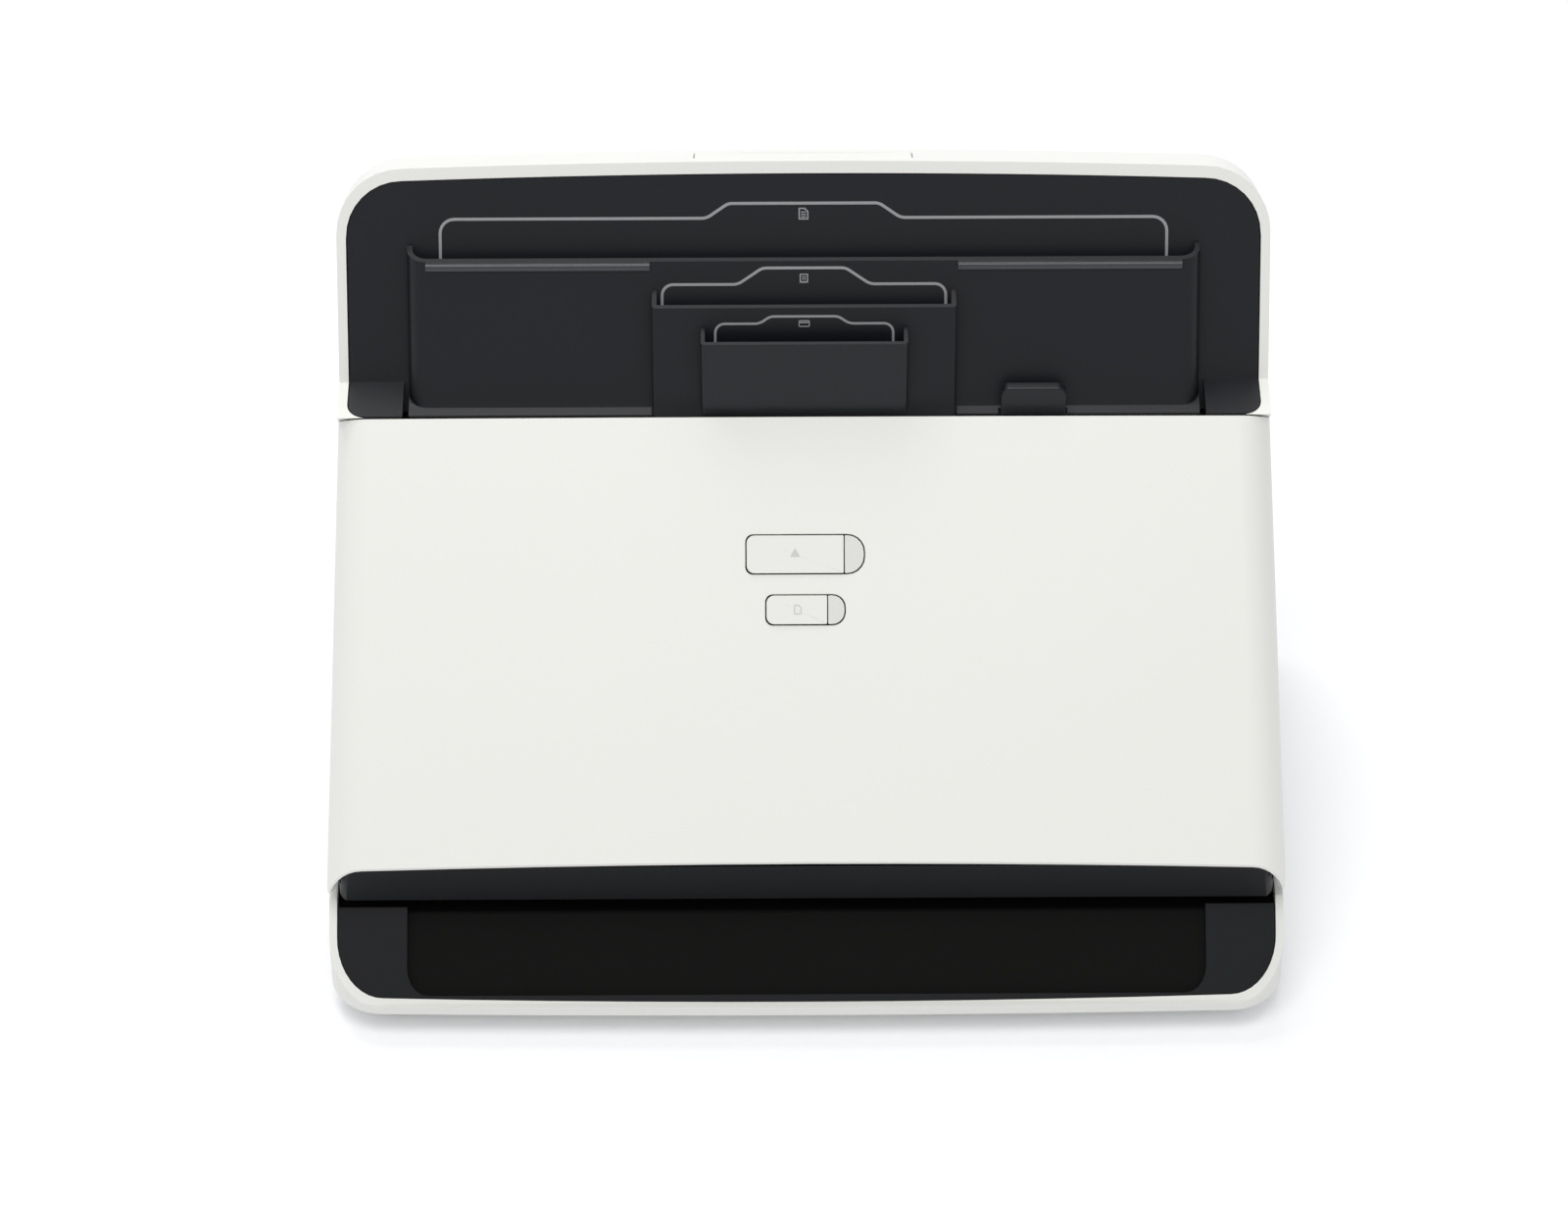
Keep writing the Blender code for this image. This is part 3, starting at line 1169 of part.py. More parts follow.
def build_liner(black):
    recess = -LINER_RECESS
    foot_rise = (LINER_FOOT_UP - SUPPORT_UP) / math.sin(SUPPORT_LEAN)
    top = SUPPORT_LENGTH - SUPPORT_TOP_RIM - GAP
    half = TOP_HALF - SUPPORT_RIM - GAP
    plate = block(on_support, foot_rise, top, -half, half, recess - LINER_THICK, recess)
    corner = SUPPORT_CORNER - SUPPORT_RIM - GAP
    keep(plate, prism(support_outline(half, top, corner, SUPPORT_ARCH), on_support, -OVERRUN, OVERRUN))
    low = SUPPORT_UP - DECK_SIDE_THICK
    edge = SUPPORT_UP - DECK_EDGE
    back = support_face(SUPPORT_UP) + GAP
    deck = [(cover_end(edge), edge), (cover_end(edge), SUPPORT_UP), (back, SUPPORT_UP), (back, low),
            (cover_end(low), low)]
    for side in (-1, 1):
        near = side * LINER_SLOT_HALF
        far = side * half
        fuse(plate, side_run(deck, min(near, far), max(near, far)))
        cut(plate, deck_corner(side, DECK_CORNER - GAP, low - GAP, SUPPORT_UP + GAP, OVERRUN / 4,
                               OVERRUN / 4))
    return named(plate, "paper_support_liner", black)


def build_extension(white):
    cap = block(on_support, SUPPORT_LENGTH - EXTENSION_CAP_THICK, SUPPORT_LENGTH,
                -EXTENSION_HALF, EXTENSION_HALF, -EXTENSION_START - EXTENSION_CAP, -EXTENSION_START)
    middle = -EXTENSION_START - EXTENSION_CAP / 2
    tongue = block(on_support, SUPPORT_LENGTH - EXTENSION_LENGTH, SUPPORT_LENGTH - EXTENSION_CAP_THICK + GAP,
                   -EXTENSION_HALF, EXTENSION_HALF,
                   middle - EXTENSION_TONGUE / 2, middle + EXTENSION_TONGUE / 2)
    return named(fuse(cap, tongue), "paper_extension", white)


def channel(half, reach, wall, corner, back, up):
    """A pocket's plan at one height: a front wall with round corners and two short returns."""
    outer = [(half, back), *arc((half - corner, back - reach + corner), corner, 0, -90, CORNER_STEPS)]
    turn = max(corner - wall, GAP)
    inner = [(half - wall, back)]
    inner += arc((half - wall - turn, back - reach + wall + turn), turn, 0, -90, CORNER_STEPS)
    plan = outer + [(-x, y) for x, y in reversed(outer)] + [(-x, y) for x, y in inner] + inner[::-1]
    return [from_above(x, y, up) for x, y in plan]


def document_face(up):
    return support_face(up) - DOCUMENT_REACH


def receipt_reach(up):
    share = (up - RECEIPT_FOOT_UP) / (RECEIPT_TOP_UP - RECEIPT_FOOT_UP)
    return RECEIPT_FOOT_REACH + (RECEIPT_TOP_REACH - RECEIPT_FOOT_REACH) * share


def receipt_face(up):
    return document_face(up) - receipt_reach(up)


def build_pockets(black):
    rings = []
    for up in (DOCUMENT_FOOT_UP, DOCUMENT_TOP_UP):
        back = support_face(up) - POCKET_CLEARANCE
        rings.append(channel(DOCUMENT_HALF, DOCUMENT_REACH - POCKET_CLEARANCE, DOCUMENT_WALL,
                             DOCUMENT_CORNER, back, up))
    pocket = loft(rings)
    low = SILL_UP - SILL_THICK
    front = document_face(SILL_UP) - SILL_REACH
    sill = [(front, SILL_UP - SILL_FALL), (document_face(SILL_UP), SILL_UP),
            (document_face(SILL_UP) + GAP, SILL_UP), (document_face(low) + GAP, low), (front, low)]
    face = document_face(DOCUMENT_TOP_UP)
    round_lip = LIP_REACH / 2
    under = DOCUMENT_TOP_UP - LIP_HEIGHT
    lip = [(face + GAP, DOCUMENT_TOP_UP)]
    lip += arc((face - round_lip, DOCUMENT_TOP_UP - round_lip), round_lip, 90, 180, CORNER_STEPS - 1)
    lip += [(face - LIP_REACH, under), (document_face(under) + GAP, under)]
    end_back = document_face(SILL_UP) + DOCUMENT_CORNER
    end = [sill[0], sill[1], (end_back, SILL_UP), (end_back, low), sill[4]]
    for side in (-1, 1):
        near = side * (RECEIPT_HALF + GAP)
        far = side * (DOCUMENT_HALF - DOCUMENT_CORNER)
        fuse(pocket, side_run(end, min(far, side * DOCUMENT_HALF), max(far, side * DOCUMENT_HALF)))
        far += side * GAP
        ledge = side_run(sill, min(near, far), max(near, far))
        if side > 0:
            cut(ledge, block(from_above, LATCH_AT - LATCH_HALF - 2 * GAP, LATCH_AT + LATCH_HALF + 2 * GAP,
                             0.0, LATCH_TIP_BACK + LATCH_THICK, 0.0, DEPTH))
        fuse(pocket, ledge)
        fuse(pocket, side_run(lip, min(near + side * GAP, far), max(near + side * GAP, far)))
    named(pocket, "document_pocket", black)
    rings = []
    for up in (RECEIPT_FOOT_UP, RECEIPT_TOP_UP):
        back = document_face(up) - GAP
        rings.append(channel(RECEIPT_HALF, receipt_reach(up) - GAP, RECEIPT_WALL, POCKET_CORNER, back, up))
    named(loft(rings), "receipt_pocket", black)
    rings = []
    for up, reach in ((CARD_FOOT_UP, CARD_FOOT_REACH), (CARD_TOP_UP, CARD_TOP_REACH)):
        back = receipt_face(up) - GAP
        rings.append(channel(CARD_HALF, reach - GAP, CARD_WALL, POCKET_CORNER, back, up))
    named(loft(rings), "card_pocket", black)


def build_electronics(green, steel, black):
    left = MAIN_BOARD_CENTRE - MAIN_BOARD_HALF_WIDTH
    right = MAIN_BOARD_CENTRE + MAIN_BOARD_HALF_WIDTH
    board = block(from_above, left, right, MAIN_BOARD_FRONT, MAIN_BOARD_BACK,
                  STANDOFF_UP, STANDOFF_UP + BOARD_THICK)
    named(board, "main_board", green)
    top = STANDOFF_UP + BOARD_THICK
    low = top + GAP
    high = low + USB_HEIGHT - GAP
    front = BASE_LENGTH - USB_LENGTH
    case = block(from_above, USB_AT - USB_WIDTH / 2, USB_AT + USB_WIDTH / 2, front, BASE_LENGTH, low, high)
    hollow = block(from_above, USB_AT - USB_WIDTH / 2 + USB_WALL, USB_AT + USB_WIDTH / 2 - USB_WALL,
                   BASE_LENGTH - USB_DEPTH, BASE_LENGTH + OVERRUN, low + USB_WALL, high - USB_WALL)
    cut(case, hollow)
    middle = (low + high) / 2
    tongue = block(from_above, USB_AT - USB_TONGUE_WIDTH / 2, USB_AT + USB_TONGUE_WIDTH / 2,
                   BASE_LENGTH - USB_DEPTH - GAP, BASE_LENGTH - USB_WALL, middle - USB_TONGUE_HEIGHT / 2,
                   middle + USB_TONGUE_HEIGHT / 2)
    named(fuse(case, tongue), "usb_socket", steel)
    high = low + POWER_HEIGHT - GAP
    middle = (low + high) / 2
    case = block(from_above, POWER_AT - POWER_WIDTH / 2, POWER_AT + POWER_WIDTH / 2,
                 front, BASE_LENGTH, low, high)
    ring = circle((POWER_AT, middle), POWER_BORE, SMALL_ROUND)
    depths = (BASE_LENGTH - USB_DEPTH, BASE_LENGTH + OVERRUN)
    cut(case, loft([[across(back, up, x) for x, up in ring] for back in depths]))
    pin = circle((POWER_AT, middle), POWER_PIN, SMALL_ROUND)
    depths = (BASE_LENGTH - USB_DEPTH - GAP, BASE_LENGTH - USB_WALL)
    fuse(case, loft([[across(back, up, x) for x, up in pin] for back in depths]))
    named(case, "power_socket", black)


def main():
    for old in list(bpy.data.objects):
        bpy.data.objects.remove(old)
    white = finish_of("white_gloss_plastic", (0.82, 0.82, 0.79), 0.3)
    black = finish_of("black_satin_plastic", (0.022, 0.024, 0.028), 0.42)
    steel = finish_of("plated_steel", (0.55, 0.55, 0.56), 0.35, 1.0)
    rubber = finish_of("rubber", (0.03, 0.03, 0.03), 0.8)
    grey = finish_of("grey_plastic", (0.3, 0.3, 0.3), 0.5)
    nylon = finish_of("natural_nylon", (0.75, 0.72, 0.62), 0.5)
    glass = finish_of("glass", (0.6, 0.68, 0.68), 0.05)
    green = finish_of("circuit_board", (0.02, 0.12, 0.05), 0.5)
    build_base(white)
    build_feet(rubber, steel)
    build_front_deck(black)
    build_hinge_pins(steel)
    build_cover_shell(white)
    build_chin(black)
    build_cover_frame(black)
    build_front_axles(steel, rubber, grey)
    build_scan_modules(black, glass)
    build_buttons(white, grey, green)
    build_latch(black, steel)
    build_gears(nylon, steel)
    build_drive(steel, rubber, nylon, black)
    build_motor(steel)
    build_chassis(steel)
    build_guide(black)
    build_housing(white)
    build_liner(black)
    build_extension(white)
    build_pockets(black)
    build_electronics(green, steel, black)


main()
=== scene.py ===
"""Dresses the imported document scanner: finishes, softened edges, tab lines, screws, stage, lights, camera."""

import itertools
import json
import math

import bmesh
import bpy
from mathutils import Matrix, Vector


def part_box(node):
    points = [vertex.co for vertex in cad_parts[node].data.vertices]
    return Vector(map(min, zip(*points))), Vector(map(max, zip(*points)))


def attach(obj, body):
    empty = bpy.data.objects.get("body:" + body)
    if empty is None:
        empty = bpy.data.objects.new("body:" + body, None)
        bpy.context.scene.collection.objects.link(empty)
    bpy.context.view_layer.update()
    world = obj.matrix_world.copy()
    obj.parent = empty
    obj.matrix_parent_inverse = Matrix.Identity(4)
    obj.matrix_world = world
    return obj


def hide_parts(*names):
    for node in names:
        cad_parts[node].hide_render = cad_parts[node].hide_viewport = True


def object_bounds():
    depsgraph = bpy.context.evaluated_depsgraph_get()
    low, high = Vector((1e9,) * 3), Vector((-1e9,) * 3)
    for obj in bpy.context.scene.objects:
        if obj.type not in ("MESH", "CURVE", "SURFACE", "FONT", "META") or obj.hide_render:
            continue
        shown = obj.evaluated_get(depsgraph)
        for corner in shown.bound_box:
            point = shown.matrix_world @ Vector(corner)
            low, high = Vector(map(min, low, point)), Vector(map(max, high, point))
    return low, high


MM = 0.001
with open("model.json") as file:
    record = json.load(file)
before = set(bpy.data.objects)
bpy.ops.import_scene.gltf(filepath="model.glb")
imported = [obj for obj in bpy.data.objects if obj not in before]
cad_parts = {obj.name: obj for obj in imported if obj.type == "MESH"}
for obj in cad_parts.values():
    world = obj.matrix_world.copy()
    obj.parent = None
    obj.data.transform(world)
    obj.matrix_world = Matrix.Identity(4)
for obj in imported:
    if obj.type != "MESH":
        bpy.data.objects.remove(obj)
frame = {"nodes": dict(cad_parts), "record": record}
cad_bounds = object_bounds()
front_edge = Vector(cad_bounds[0]).y
nodes = frame["nodes"]


# ---------------------------------------------------------------- finishes

# The sockets of a Mix node that hold its share, its two colours and its result.
MIX_SHARE, MIX_FIRST, MIX_SECOND, MIX_RESULT = 0, 6, 7, 2
# The slow change of colour over a part, in cells a metre.
BROAD_SCALE = 14.0
# A Wave node at scale 1 has this many radians a metre.
WAVE_UNIT = 20.0
# Below this the sRGB curve is a straight line.
SRGB_KNEE = 0.04045


def linear(code):
    """An sRGB hex colour as linear numbers with alpha 1."""
    parts = [int(code[index:index + 2], 16) / 255 for index in (0, 2, 4)]
    return [part / 12.92 if part <= SRGB_KNEE else ((part + 0.055) / 1.055) ** 2.4 for part in parts] + [1.0]


def add(tree, kind, values=None, links=None, **settings):
    """Adds one node with its settings, its input values and its links."""
    made = tree.nodes.new(kind)
    for key, value in settings.items():
        setattr(made, key, value)
    for socket, value in (values or {}).items():
        made.inputs[socket].default_value = value
    for socket, source in (links or {}).items():
        tree.links.new(source, made.inputs[socket])
    return made


def coloured(tree, shader, first, second, share):
    """Colours a shader between two colours by a socket's value."""
    mix = add(tree, "ShaderNodeMix", {MIX_FIRST: first, MIX_SECOND: second}, {MIX_SHARE: share}, data_type='RGBA')
    tree.links.new(mix.outputs[MIX_RESULT], shader.inputs["Base Color"])


def raised(tree, shader, height, depth):
    """Raises a surface by a socket's value, up to a depth in mm."""
    bump = add(tree, "ShaderNodeBump", {"Strength": 1.0, "Distance": depth * MM}, {"Height": height})
    tree.links.new(bump.outputs["Normal"], shader.inputs["Normal"])


def finish(name, code, rough, shade=0.04, spread=0.06, grain=0.5, depth=0.02, **sockets):
    """A moulded or cast surface: a little uneven in colour and gloss, with a fine grain of a size in mm."""
    made = bpy.data.materials.new(name)
    made.use_nodes = True
    tree = made.node_tree
    shader = tree.nodes["Principled BSDF"]
    place = add(tree, "ShaderNodeTexCoord").outputs["Object"]
    broad = add(tree, "ShaderNodeTexNoise", {"Scale": BROAD_SCALE, "Detail": 2.0}, {"Vector": place})
    fine = add(tree, "ShaderNodeTexNoise", {"Scale": 1.0 / (grain * MM), "Detail": 2.0}, {"Vector": place})
    tone = linear(code)
    dark = [part * (1.0 - shade) for part in tone[:3]] + [1.0]
    light = [min(1.0, part * (1.0 + shade)) for part in tone[:3]] + [1.0]
    coloured(tree, shader, dark, light, broad.outputs["Fac"])
    gloss = add(tree, "ShaderNodeMapRange", {"To Min": rough - spread, "To Max": rough + spread},
                {"Value": fine.outputs["Fac"]})
    tree.links.new(gloss.outputs["Result"], shader.inputs["Roughness"])
    raised(tree, shader, fine.outputs["Fac"], depth)
    for socket, value in sockets.items():
        shader.inputs[socket.replace("_", " ")].default_value = value
    return made


def banded(name, code, other, rough, pitch, way, height=0.05):
    """A surface with bands at a pitch in mm, in two colours and a little raised."""
    made = finish(name, code, rough, shade=0.05, grain=0.8, depth=0.005)
    tree = made.node_tree
    shader = tree.nodes["Principled BSDF"]
    place = add(tree, "ShaderNodeTexCoord").outputs["Object"]
    scale = math.tau / (WAVE_UNIT * pitch * MM)
    band = add(tree, "ShaderNodeTexWave", {"Scale": scale}, {"Vector": place}, bands_direction=way)
    coloured(tree, shader, linear(code), linear(other), band.outputs["Fac"])
    raised(tree, shader, band.outputs["Fac"], height)
    return made


# Gloss ABS, injection moulded: a warm white skin with a faint orange peel.
white_abs = finish("gloss_white_abs", "F1F1EC", 0.3, shade=0.006, spread=0.03, grain=2.5, depth=0.004,
                   IOR=1.5)
# The same ABS on the keys, polished in the tool: a touch glossier.
key_abs = finish("polished_white_abs", "EFEFEB", 0.24, shade=0.004, spread=0.02, grain=2.5, depth=0.002,
                 IOR=1.5)
# ABS with a fine spark-eroded texture: near black, slightly blue, satin.
black_abs = finish("satin_black_abs", "13151B", 0.4, shade=0.06, spread=0.05, grain=0.6, depth=0.01,
                   Specular_IOR_Level=0.4)
# A darker copy of the housing black, with less specular, on the chin and the ramp's shoulders: painted shade, for
# these parts lie low in the shadow under the chin and mirror less of the room.
painted_shade_abs = finish("painted_shade_black_abs", "0D0F13", 0.45, shade=0.06, spread=0.05, grain=0.6, depth=0.01,
                 Specular_IOR_Level=0.25)
# The lip of the widest pocket, glossier, in a dark grey lighter than the housing black: a painted highlight along
# its bead.
lip_highlight_abs = finish("painted_highlight_grey_abs", "3C3D41", 0.25, shade=0.04, spread=0.04, grain=1.5, depth=0.004)
# The ramp's floor has a coarser, duller texture than the rest of the black housing.
ramp_abs = finish("dull_black_abs", "121211", 0.68, shade=0.06, spread=0.05, grain=0.9, depth=0.02,
                  Specular_IOR_Level=0.08)
# Cast rubber: dull, with a slight bloom.
rubber = finish("cast_rubber", "26262A", 0.75, shade=0.1, spread=0.08, grain=0.7, depth=0.02)
# Natural nylon: ivory, waxy.
nylon = finish("natural_nylon", "D9D3BE", 0.42, shade=0.03, grain=1.2, depth=0.006)
# Grey acetal of the idler wheels.
grey_acetal = finish("grey_acetal", "A9ABAB", 0.35, shade=0.02, grain=1.5, depth=0.004)
# Frosted acrylic of the light windows and light guides: pale grey, smooth.
lens_grey = finish("frosted_acrylic", "E2E3DF", 0.28, shade=0.01, spread=0.03, grain=1.5, depth=0.003)
# Zinc plated sheet: cool grey, with a fine spangle in its gloss.
zinc = finish("zinc_plated_steel", "B4B6B8", 0.34, shade=0.05, spread=0.08, grain=3.0, depth=0.003,
              Metallic=1.0)
# Solder mask over glass fibre.
solder_mask = finish("green_solder_mask", "1E5C37", 0.4, shade=0.08, grain=1.0, depth=0.01)
# Float glass over the sensors.
glass = finish("float_glass", "DCE8E6", 0.05, shade=0.0, spread=0.0, grain=4.0, depth=0.0, IOR=1.52,
               Transmission_Weight=0.9)
# Pad printing in light grey ink: flat and even, a little dull.
ink = finish("light_grey_ink", "9C9DA0", 0.6, shade=0.03, grain=0.4, depth=0.003)
# The same ink thinned for the marks on the white keys, which are hardly darker than the key.
pale_ink = finish("pale_grey_ink", "CFCFCB", 0.5, shade=0.02, grain=0.4, depth=0.002)

# Rod lenses in a black holder: dark, with a fine row of lighter ends, drawn at their real 0.6 mm.
lens_row = banded("rod_lens_row", "101214", "3A4A55", 0.25, 0.6, 'X')
# Moulded neoprene of the toothed belt: matt black, toothed every 2 mm.
belt_rubber = banded("belt_neoprene", "1A1A1C", "222225", 0.7, 2.0, 'DIAGONAL', height=0.25)

finishes = {
    "white_plastic": white_abs, "black_plastic": black_abs, "rubber": rubber, "nylon": nylon, "glass": glass,
    "grey_plastic": grey_acetal, "circuit_board": solder_mask, "plated_steel": zinc,
}
slots = {part["node"]: part["material_slot"] for part in frame["record"]["subparts"]}
riders = {node: body for body, members in frame["record"]["behaviour"]["bodies"].items() for node in members}

for name, carried in nodes.items():
    carried.data.materials.clear()
    carried.data.materials.append(belt_rubber if name == "drive_belt" else finishes[slots[name]])


# ---------------------------------------------------------------- modelling steps

# The angles at which an edge counts as sharp, shades smooth, or lies in a flat face.
SHARP_FROM = math.radians(28.0)
SMOOTH_UP_TO = math.radians(32.0)
FLAT_WITHIN = math.radians(0.1)
# In mm: the shortest edge that is rounded, and how near points of a copied shell are merged.
SHORTEST_SHARP = 0.4
FINE_MERGE = 0.02
LATCH_MERGE = 0.05
COARSE_MERGE = 0.12
# A face looks a way when its direction has more than this share of it.
LOOKS_UP = 0.5
LOOKS_OUT = 0.9


def alone(piece):
    """Leaves one piece selected and active."""
    bpy.ops.object.select_all(action='DESELECT')
    piece.select_set(True)
    bpy.context.view_layer.objects.active = piece
    return piece


def choose(piece, kind, test):
    """In edit mode, selects only the faces, edges or verts that a test allows."""
    bpy.ops.mesh.select_all(action='DESELECT')
    bpy.ops.mesh.select_mode(type={'faces': 'FACE', 'edges': 'EDGE', 'verts': 'VERT'}[kind])
    form = bmesh.from_edit_mesh(piece.data)
    found = [item for item in getattr(form, kind) if test(item)]
    for item in found:
        item.select_set(True)
    form.select_flush_mode()
    bmesh.update_edit_mesh(piece.data)
    return len(found)


def middle(edge):
    """The middle of an edge."""
    return (edge.verts[0].co + edge.verts[1].co) / 2


def is_sharp(edge, shortest=SHORTEST_SHARP):
    """An edge between two faces that meet at an angle, and longer than a length in mm."""
    return (len(edge.link_faces) == 2 and edge.calc_face_angle() > SHARP_FROM
            and edge.calc_length() > shortest * MM)


def stands_for(piece, node, material=None):
    """Puts a finished piece in place of a CAD node, with its body."""
    if material:
        piece.data.materials.clear()
        piece.data.materials.append(material)
    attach(piece, riders[node])
    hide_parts(node)
    return piece


def smoothed(piece):
    """Shades a piece smooth over its small angles, with its broad faces leading at the small rounds."""
    alone(piece)
    bpy.ops.mesh.customdata_custom_splitnormals_clear()
    bpy.ops.object.shade_smooth_by_angle(angle=SMOOTH_UP_TO)
    leading = piece.modifiers.new("broad_faces_lead", 'WEIGHTED_NORMAL')
    leading.keep_sharp = True
    bpy.ops.object.modifier_apply(modifier=leading.name)
    return piece


def shell_copy(node, merge):
    """A copy of a CAD shell with its loose triangles merged and its flat faces made whole."""
    piece = bpy.data.objects.new(node + "_moulded", nodes[node].data.copy())
    bpy.context.scene.collection.objects.link(piece)
    alone(piece)
    bpy.ops.object.mode_set(mode='EDIT')
    bpy.ops.mesh.select_all(action='SELECT')
    bpy.ops.mesh.remove_doubles(threshold=merge * MM)
    bpy.ops.mesh.dissolve_limited(angle_limit=FLAT_WITHIN, delimit={'NORMAL'})
    bpy.ops.object.mode_set(mode='OBJECT')
    return piece


def moulded(node, *rounds, merge=FINE_MERGE, material=None):
    """A CAD shell's form with rounded edges, in place of it. A round is a radius in mm, its steps and a test."""
    piece = shell_copy(node, merge)
    bpy.ops.object.mode_set(mode='EDIT')
    for radius, steps, test in rounds:
        if choose(piece, 'edges', lambda edge: is_sharp(edge) and test(middle(edge))):
            bpy.ops.mesh.bevel(offset=radius * MM, segments=steps, profile=0.5, clamp_overlap=True)
    bpy.ops.object.mode_set(mode='OBJECT')
    smoothed(piece)
    return stands_for(piece, node, material or finishes[slots[node]])


def coated(piece, material, test):
    """Gives the faces of a piece that a test of their centre and direction allows a second finish."""
    piece.data.materials.append(material)
    for face in piece.data.polygons:
        if test(face.center, face.normal):
            face.material_index = len(piece.data.materials) - 1
    return piece


def everywhere(place):
    """The test of a round that takes every sharp edge."""
    return True


# ---------------------------------------------------------------- housing, cover and pockets

# The band at the cover's head that gets its own round, in mm, and the rounds: a radius in mm and its steps.
COVER_HEAD_BAND = 3.5
COVER_HEAD_ROUND = (1.3, 4)
THIN_ROUND = (0.35, 2)
LINER_ROUND = (0.4, 2)
HOUSING_ROUND = (0.6, 3)
MIDDLE_ROUND = (0.5, 3)
POCKET_ROUND = (0.45, 3)
SMALL_ROUND = (0.4, 3)
KEY_ROUND = (0.25, 3)
LENS_ROUND = (0.2, 3)

cover_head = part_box("front_cover_shell")[1].z - COVER_HEAD_BAND * MM
moulded("front_cover_shell", (*COVER_HEAD_ROUND, lambda place: place.z > cover_head), (*THIN_ROUND, everywhere))
moulded("rear_housing", (*HOUSING_ROUND, everywhere), merge=COARSE_MERGE)
moulded("base_shell", (*MIDDLE_ROUND, everywhere), merge=COARSE_MERGE)
# The chin in the darker copy of the housing black: painted shade.
moulded("cover_chin", (*THIN_ROUND, everywhere), merge=COARSE_MERGE, material=painted_shade_abs)
moulded("paper_support_liner", (*LINER_ROUND, everywhere), merge=COARSE_MERGE)
document_pocket = moulded("document_pocket", (*MIDDLE_ROUND, everywhere), merge=COARSE_MERGE)
moulded("receipt_pocket", (*POCKET_ROUND, everywhere), merge=COARSE_MERGE)
moulded("card_pocket", (*SMALL_ROUND, everywhere), merge=COARSE_MERGE)
moulded("paper_extension", (*MIDDLE_ROUND, everywhere))
for name in ("scan_button", "format_button"):
    moulded(name, (*KEY_ROUND, everywhere), merge=COARSE_MERGE, material=key_abs)
for name in ("indicator_lens_1", "indicator_lens_2"):
    moulded(name, (*LENS_ROUND, everywhere), merge=COARSE_MERGE, material=lens_grey)
for number in range(1, 5):
    moulded(f"foot_{number}", (*HOUSING_ROUND, everywhere))

# The exit ramp in the darker copy of the housing black, painted shade; the floor of its shallow tray is duller
# than the shoulders at its sides.
ramp = moulded("front_deck", (*SMALL_ROUND, everywhere), merge=COARSE_MERGE, material=painted_shade_abs)

# The plane of the shoulders: a point on it in mm, back from the foremost point and up, and its slope.
SHOULDER_BACK, SHOULDER_UP = 2.2, 10.8
SHOULDER_SLOPE = math.tan(math.radians(40.5))
TRAY_DEPTH = 0.8


def in_tray(place, way):
    """A face that looks up and lies well under the plane of the ramp's shoulders."""
    rise = place.z - SHOULDER_UP * MM - (place.y - front_edge - SHOULDER_BACK * MM) * SHOULDER_SLOPE
    return way.z > LOOKS_UP and rise < -TRAY_DEPTH * MM


coated(ramp, ramp_abs, in_tray)


# ---------------------------------------------------------------- release latch

def trimmed(piece, cutter):
    """Cuts one piece out of another and clears it away."""
    alone(piece)
    change = piece.modifiers.new("trim", 'BOOLEAN')
    change.operation = 'DIFFERENCE'
    change.object = cutter
    change.solver = 'EXACT'
    bpy.ops.object.modifier_apply(modifier=change.name)
    bpy.data.objects.remove(cutter)
    return piece


# The latch's tab in mm: its height, its edges' radius and steps, and the thumb dimple's place and half sizes.
TAB_HEIGHT = 9.0
TAB_ROUND = (0.5, 3)
DIMPLE_X = 65.5
DIMPLE_INSET = 2.9
DIMPLE_HALF = (1.7, 1.0, 1.1)

latch_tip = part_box("release_latch")[1]
latch = shell_copy("release_latch", LATCH_MERGE)
bpy.ops.object.mode_set(mode='EDIT')
tab_low = latch_tip.z - TAB_HEIGHT * MM
if choose(latch, 'edges', lambda edge: is_sharp(edge) and middle(edge).z > tab_low):
    bpy.ops.mesh.bevel(offset=TAB_ROUND[0] * MM, segments=TAB_ROUND[1], profile=0.5, clamp_overlap=True)
bpy.ops.object.mode_set(mode='OBJECT')
bpy.ops.object.select_all(action='DESELECT')
bpy.ops.mesh.primitive_uv_sphere_add(segments=24, ring_count=12, radius=1.0)
dimple = bpy.context.object
dimple_at = (DIMPLE_X * MM, latch_tip.y - DIMPLE_INSET * MM, latch_tip.z - DIMPLE_INSET * MM)
dimple.matrix_world = Matrix.Translation(dimple_at) @ Matrix.Diagonal([*(half * MM for half in DIMPLE_HALF), 1.0])
trimmed(latch, dimple)
stands_for(smoothed(latch), "release_latch", black_abs)


# ---------------------------------------------------------------- printed marks

def spot(x, back, up):
    """A place given in mm: across, back from the foremost point, and up."""
    return Vector((x * MM, front_edge + back * MM, up * MM))


def slope_frame(back, up, rise_back, rise_up):
    """A sloping face's frame at a point on it: Y runs up the slope and Z out of the face."""
    across = Vector((1.0, 0.0, 0.0))
    rise = Vector((0.0, rise_back, rise_up)).normalized()
    out = across.cross(rise)
    turned = Matrix((across, rise, out)).transposed().to_4x4()
    return Matrix.Translation(spot(0.0, back, up)) @ turned


# The sloping faces: a point on each in mm, back from the foremost point and up, and how its slope rises.
PAPER_RISE = (0.5, 0.866)
RECEIPT_RISE = (0.3834, 0.9236)
COVER_ANGLE = math.radians(42.8)
POCKETS_UP = 135.489
SUPPORT_BACK, DOCUMENT_BACK, RECEIPT_BACK = 130.73, 121.93, 117.989
COVER_FOOT_BACK, COVER_FOOT_UP = 20.0, 50.5

